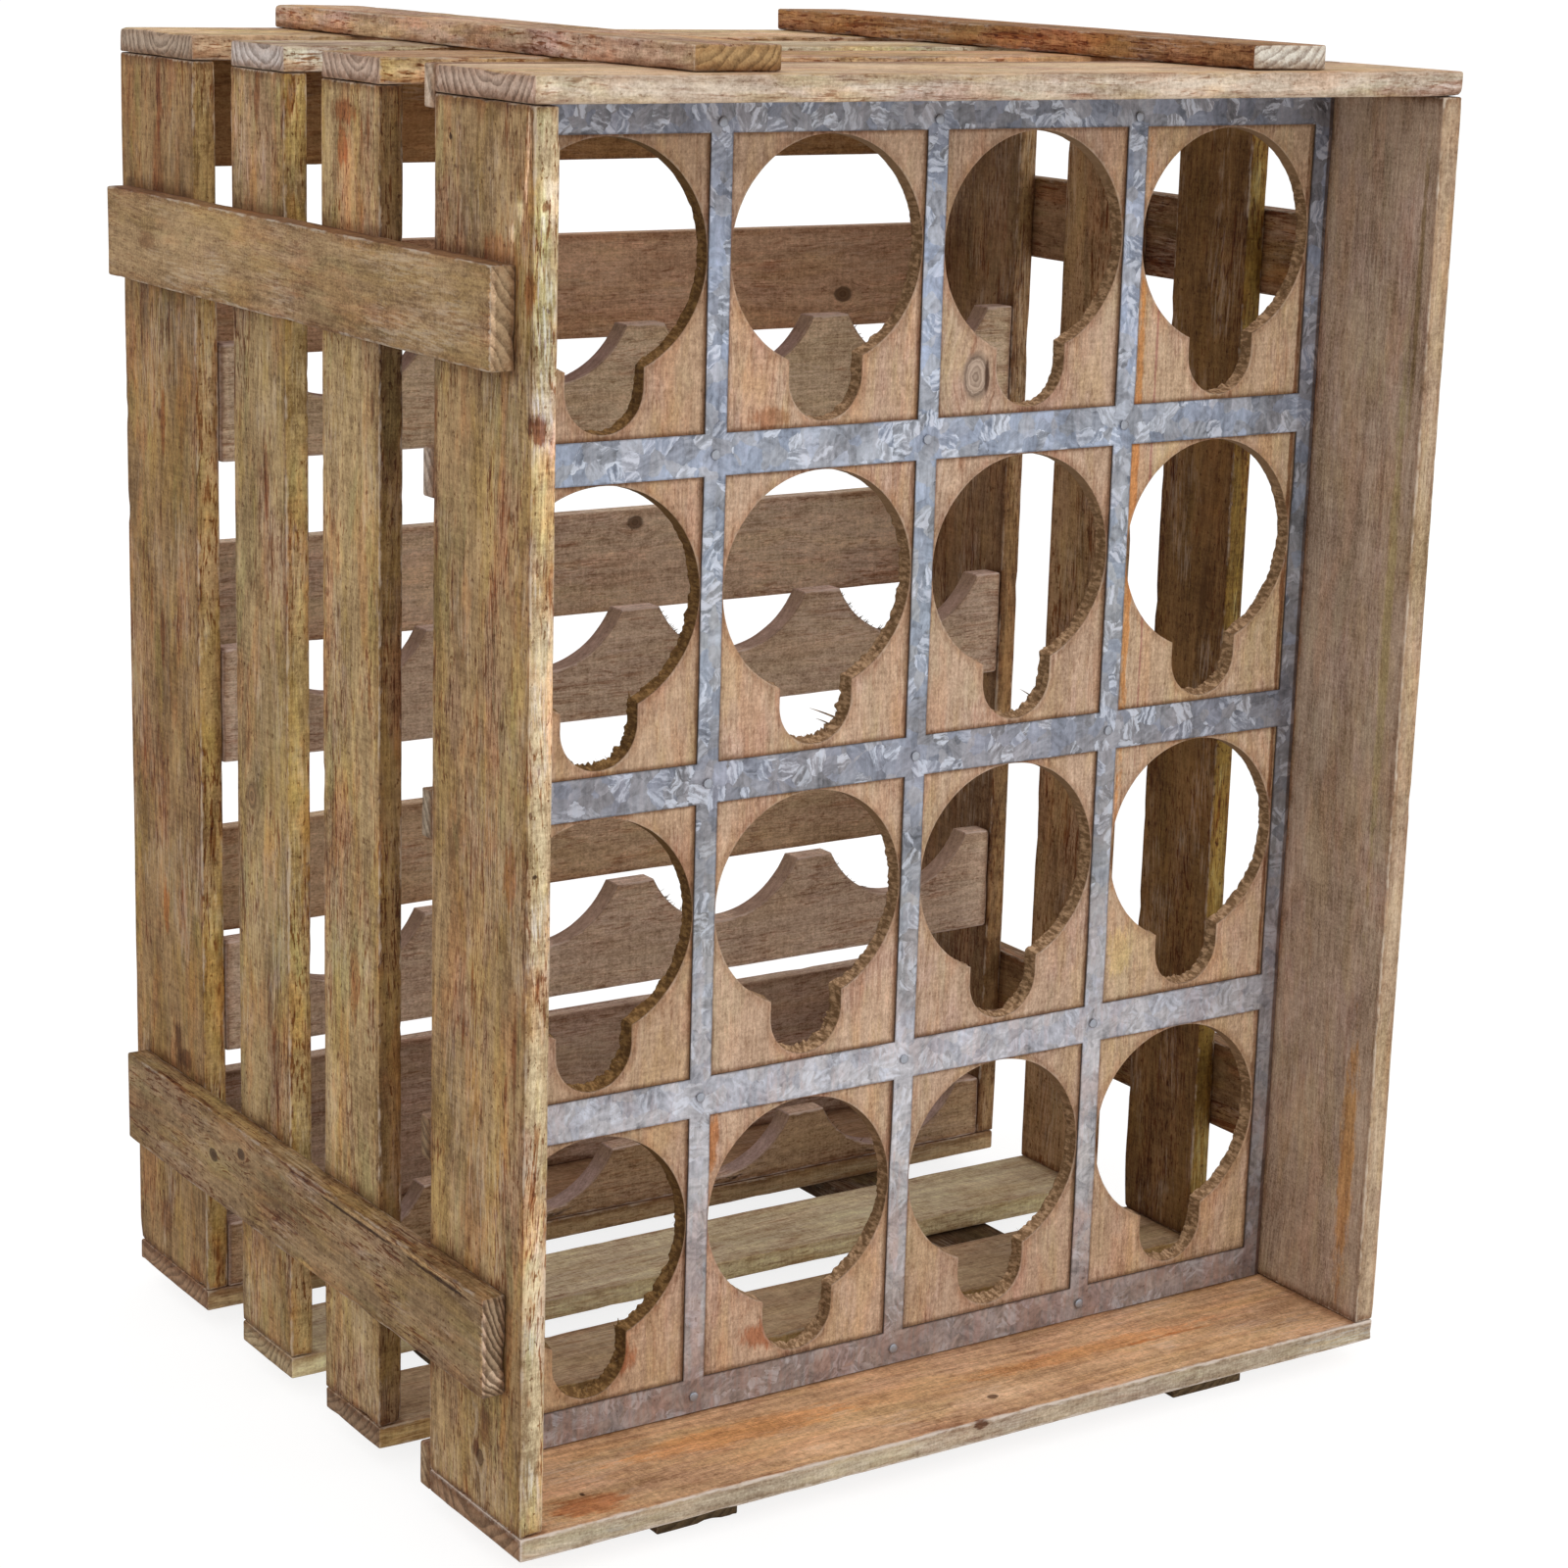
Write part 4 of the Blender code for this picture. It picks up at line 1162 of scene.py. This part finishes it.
# Front colours of the back boards: their wood's tone, made brighter as painted fill light inside the rack
BACK_FRONTS = ((0.335, 0.19, 0.085), (0.56, 0.375, 0.255), (0.64, 0.50, 0.38), (0.58, 0.43, 0.29),
               (0.465, 0.34, 0.26))
for number, front_colour in enumerate(BACK_FRONTS, 1):
    BOARD_LOOKS[f"back_board_{number}"] = {"front": front_colour, **EVEN}
BOARD_LOOKS["back_board_2"]["knots"] = [((165.5, 183.9, 481.9), 3.5, (0.15, 0.085, 0.045))]
BOARD_LOOKS["back_board_3"]["knots"] = [((39.2, 183.9, 368.3), 3.0, (0.17, 0.10, 0.06))]
# Directions of the grain and of the width of each kind of board, by a part of its name
BOARD_AXES = {"left_slat": (Z, Y), "right_slat": (Z, Y), "top_slat": (X, Y), "bottom_slat": (X, Y),
              "er_batten": (Y, Z), "top_batten": (Y, -X), "foot": (Y, -X), "rail": (X, Z), "back": (X, Z)}
BOARD_SLOTS = {"slat": "slat_wood", "batten": "batten_wood", "foot": "batten_wood",
               "rail": "rail_wood", "back": "dark_wood"}
BOARD_BOWS = {"bottom_slat_third": 1.2 * MM}


def first_match(table, name):
    """The value of the first key of a table that a name contains."""
    return next(value for key, value in table.items() if key in name)


def make_boards():
    """All straight boards, each with its own grain and finish."""
    for number, (node, look) in enumerate(BOARD_LOOKS.items()):
        grain, width = first_match(BOARD_AXES, node)
        seed = 11 + number
        seen_closely = "front" in node or "left" in node
        finish = wood(node + "_wood", node, grain, width, seed=seed, **look)
        piece = board(node + "_board", node, grain, width, finish, seed=seed,
                      bow=BOARD_BOWS.get(node, 0.0), spacing=FINE if seen_closely else COARSE)
        first_match(BOARD_SLOTS, node)


# Painted light: the flat tops of the peaks ("up") are painted pale, as lit from above
SUPPORT_FACES = (
    {"front": (0.56, 0.435, 0.305), "up": (0.70, 0.54, 0.47)},
    {"front": (0.515, 0.39, 0.29), "up": (0.70, 0.54, 0.47)},
    {"front": (0.52, 0.39, 0.295), "up": (0.66, 0.50, 0.42)},
    {"front": (0.41, 0.28, 0.17), "up": (0.58, 0.42, 0.33)},
)
SUPPORT_BRISTLES = (14, 70, 24, 14)


def make_bristles(row, count, material):
    """Torn fibres on the right flanks of a support's peaks."""
    node = f"bottle_support_{row + 1}"
    low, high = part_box(node)
    rng = np.random.default_rng(501 + row)
    points, quads, tips = [], [], []
    for index in range(count):
        middle = COLUMN_MIDDLES[rng.integers(2, 4)]
        turn = rng.uniform(0.35, 1.05)
        base = np.array([
            middle - SEAT_RADIUS * math.sin(turn) - 0.4 * MM, low.y + rng.uniform(0.2, 3.0) * MM,
            high.z + SEAT_RADIUS * (1 - math.cos(turn)) - SEAT_DEPTH - 0.4 * MM])
        length = rng.uniform(1.2, 4.2) * MM
        direction = np.array([rng.uniform(0.5, 1.0), rng.uniform(-0.3, 0.3), rng.uniform(0.0, 0.8)])
        direction *= length / np.linalg.norm(direction)
        spike, sides, tip = splinter(base, direction, rng.uniform(0.15, 0.35) * MM,
                                     rng.normal(0, 0.15, 3) * length, len(points))
        points += spike.tolist()
        quads += sides.tolist()
        tips.append(tip)
    values = {"wall": np.full(len(points), 3.0), "torn": np.ones(len(points))}
    piece = make_piece(node + "_bristles", points, quads + tips, (X, Z, X.cross(Z)), (low + high) / 2,
                       material, values)


def make_supports():
    """Scalloped bars that carry the bottles' shoulders, with pale worn upper edges and flat tops painted pale
    as if lit from above.
    """
    for row in range(4):
        node = f"bottle_support_{row + 1}"
        finish = wood(node + "_wood", node, X, Z, seed=81 + row, contrast=0.75, broad=0.5, specks=1.4,
                      hue=0.15, marks=0.6, worn=0.8, bare_from=0.15, bare_width=1.5, grime=0.2,
                      pale=(0.66, 0.52, 0.45), end=(0.34, 0.23, 0.16), end_rings=0.1,
                      end_from=(0.08, 0.25), **SUPPORT_FACES[row])
        piece = board(node + "_board", node, X, Z, finish, seed=81 + row, chips=0.5, wear=1.6,
                      upper=seat_height(node), stations=seat_stations(node))
        make_bristles(row, SUPPORT_BRISTLES[row], finish)


FRONT_BOARDS = (
    {"front": (0.50, 0.345, 0.232), "wall": ((0.10, 0.05, 0.016), (0.22, 0.125, 0.045)),
     "stains": [*on_face(PANEL_FRONT, (-148, 56, 10, 9, 0.78, 0.52, 0.40),
                         (-207, 340, 2, 200, 0.78, 0.62, 0.50))]},
    {"front": (0.525, 0.37, 0.265),
     "stains": [*on_face(PANEL_FRONT, (-79.8, 470.9, 12, 6, 0.72, 0.56, 0.46),
                         (-70, 52, 14, 8, 0.78, 0.50, 0.38), (-100.5, 150, 3.5, 16, 0.92, 0.62, 0.38))]},
    {"front": (0.50, 0.355, 0.258),
     "knots": [((27.6, -121.8, 483.5), 6.5, (0.50, 0.38, 0.30))],
     "stains": [*on_face(PANEL_FRONT, (33.5, 483.5, 1.4, 8, 0.32, 0.25, 0.22),
                         (13.9, 254.2, 3.5, 22, 0.92, 0.64, 0.40))]},
    {"front": (0.54, 0.387, 0.265),
     "stains": [*on_face(PANEL_FRONT, (120, 420, 2.6, 160, 1.05, 0.72, 0.42),
                         (129.3, 420, 0.9, 160, 0.74, 0.55, 0.60), (126, 205, 8, 14, 1.15, 1.15, 0.90),
                         # Dark strip at the board's right edge beside the sheet's last upright: partly dirt,
                         # partly painted shade
                         (214, 360, 1.4, 260, 0.45, 0.32, 0.24))]},
)


def make_front_boards():
    """The four keyhole boards. Their wood is smoother and more even than the slats'."""
    for column, look in enumerate(FRONT_BOARDS):
        node = f"front_board_{column + 1}"
        look = {"wall": ((0.15, 0.085, 0.04), (0.36, 0.23, 0.13)), **look}
        finish = wood(node + "_wood", node, Z, X, seed=91 + column, contrast=0.65, broad=0.5, specks=1.2,
                      hue=0.4, marks=0.4, dry=0.3, worn=0.3,
                      bars=(COLUMN_MIDDLES[column], WINDOW_TOPS[0]), **look)
        front_board(column, finish, 200 + 40 * column)


make_camera()
make_world()
make_floor()
lamp("key", (-1.2, -3.2, 2.6), 2.2, 26)
lamp("fill", (2.8, -1.5, 1.8), 2.0, 10)

make_boards()
make_supports()
make_front_boards()
make_grid(zinc("galvanised_sheet", "face_grid"))
steel = worn_steel("tack_steel")
for bar in range(1, 4):
    for level in range(1, 6):
        make_tack_head(bar, level, steel)

bpy.context.scene.view_settings.view_transform = "Standard"
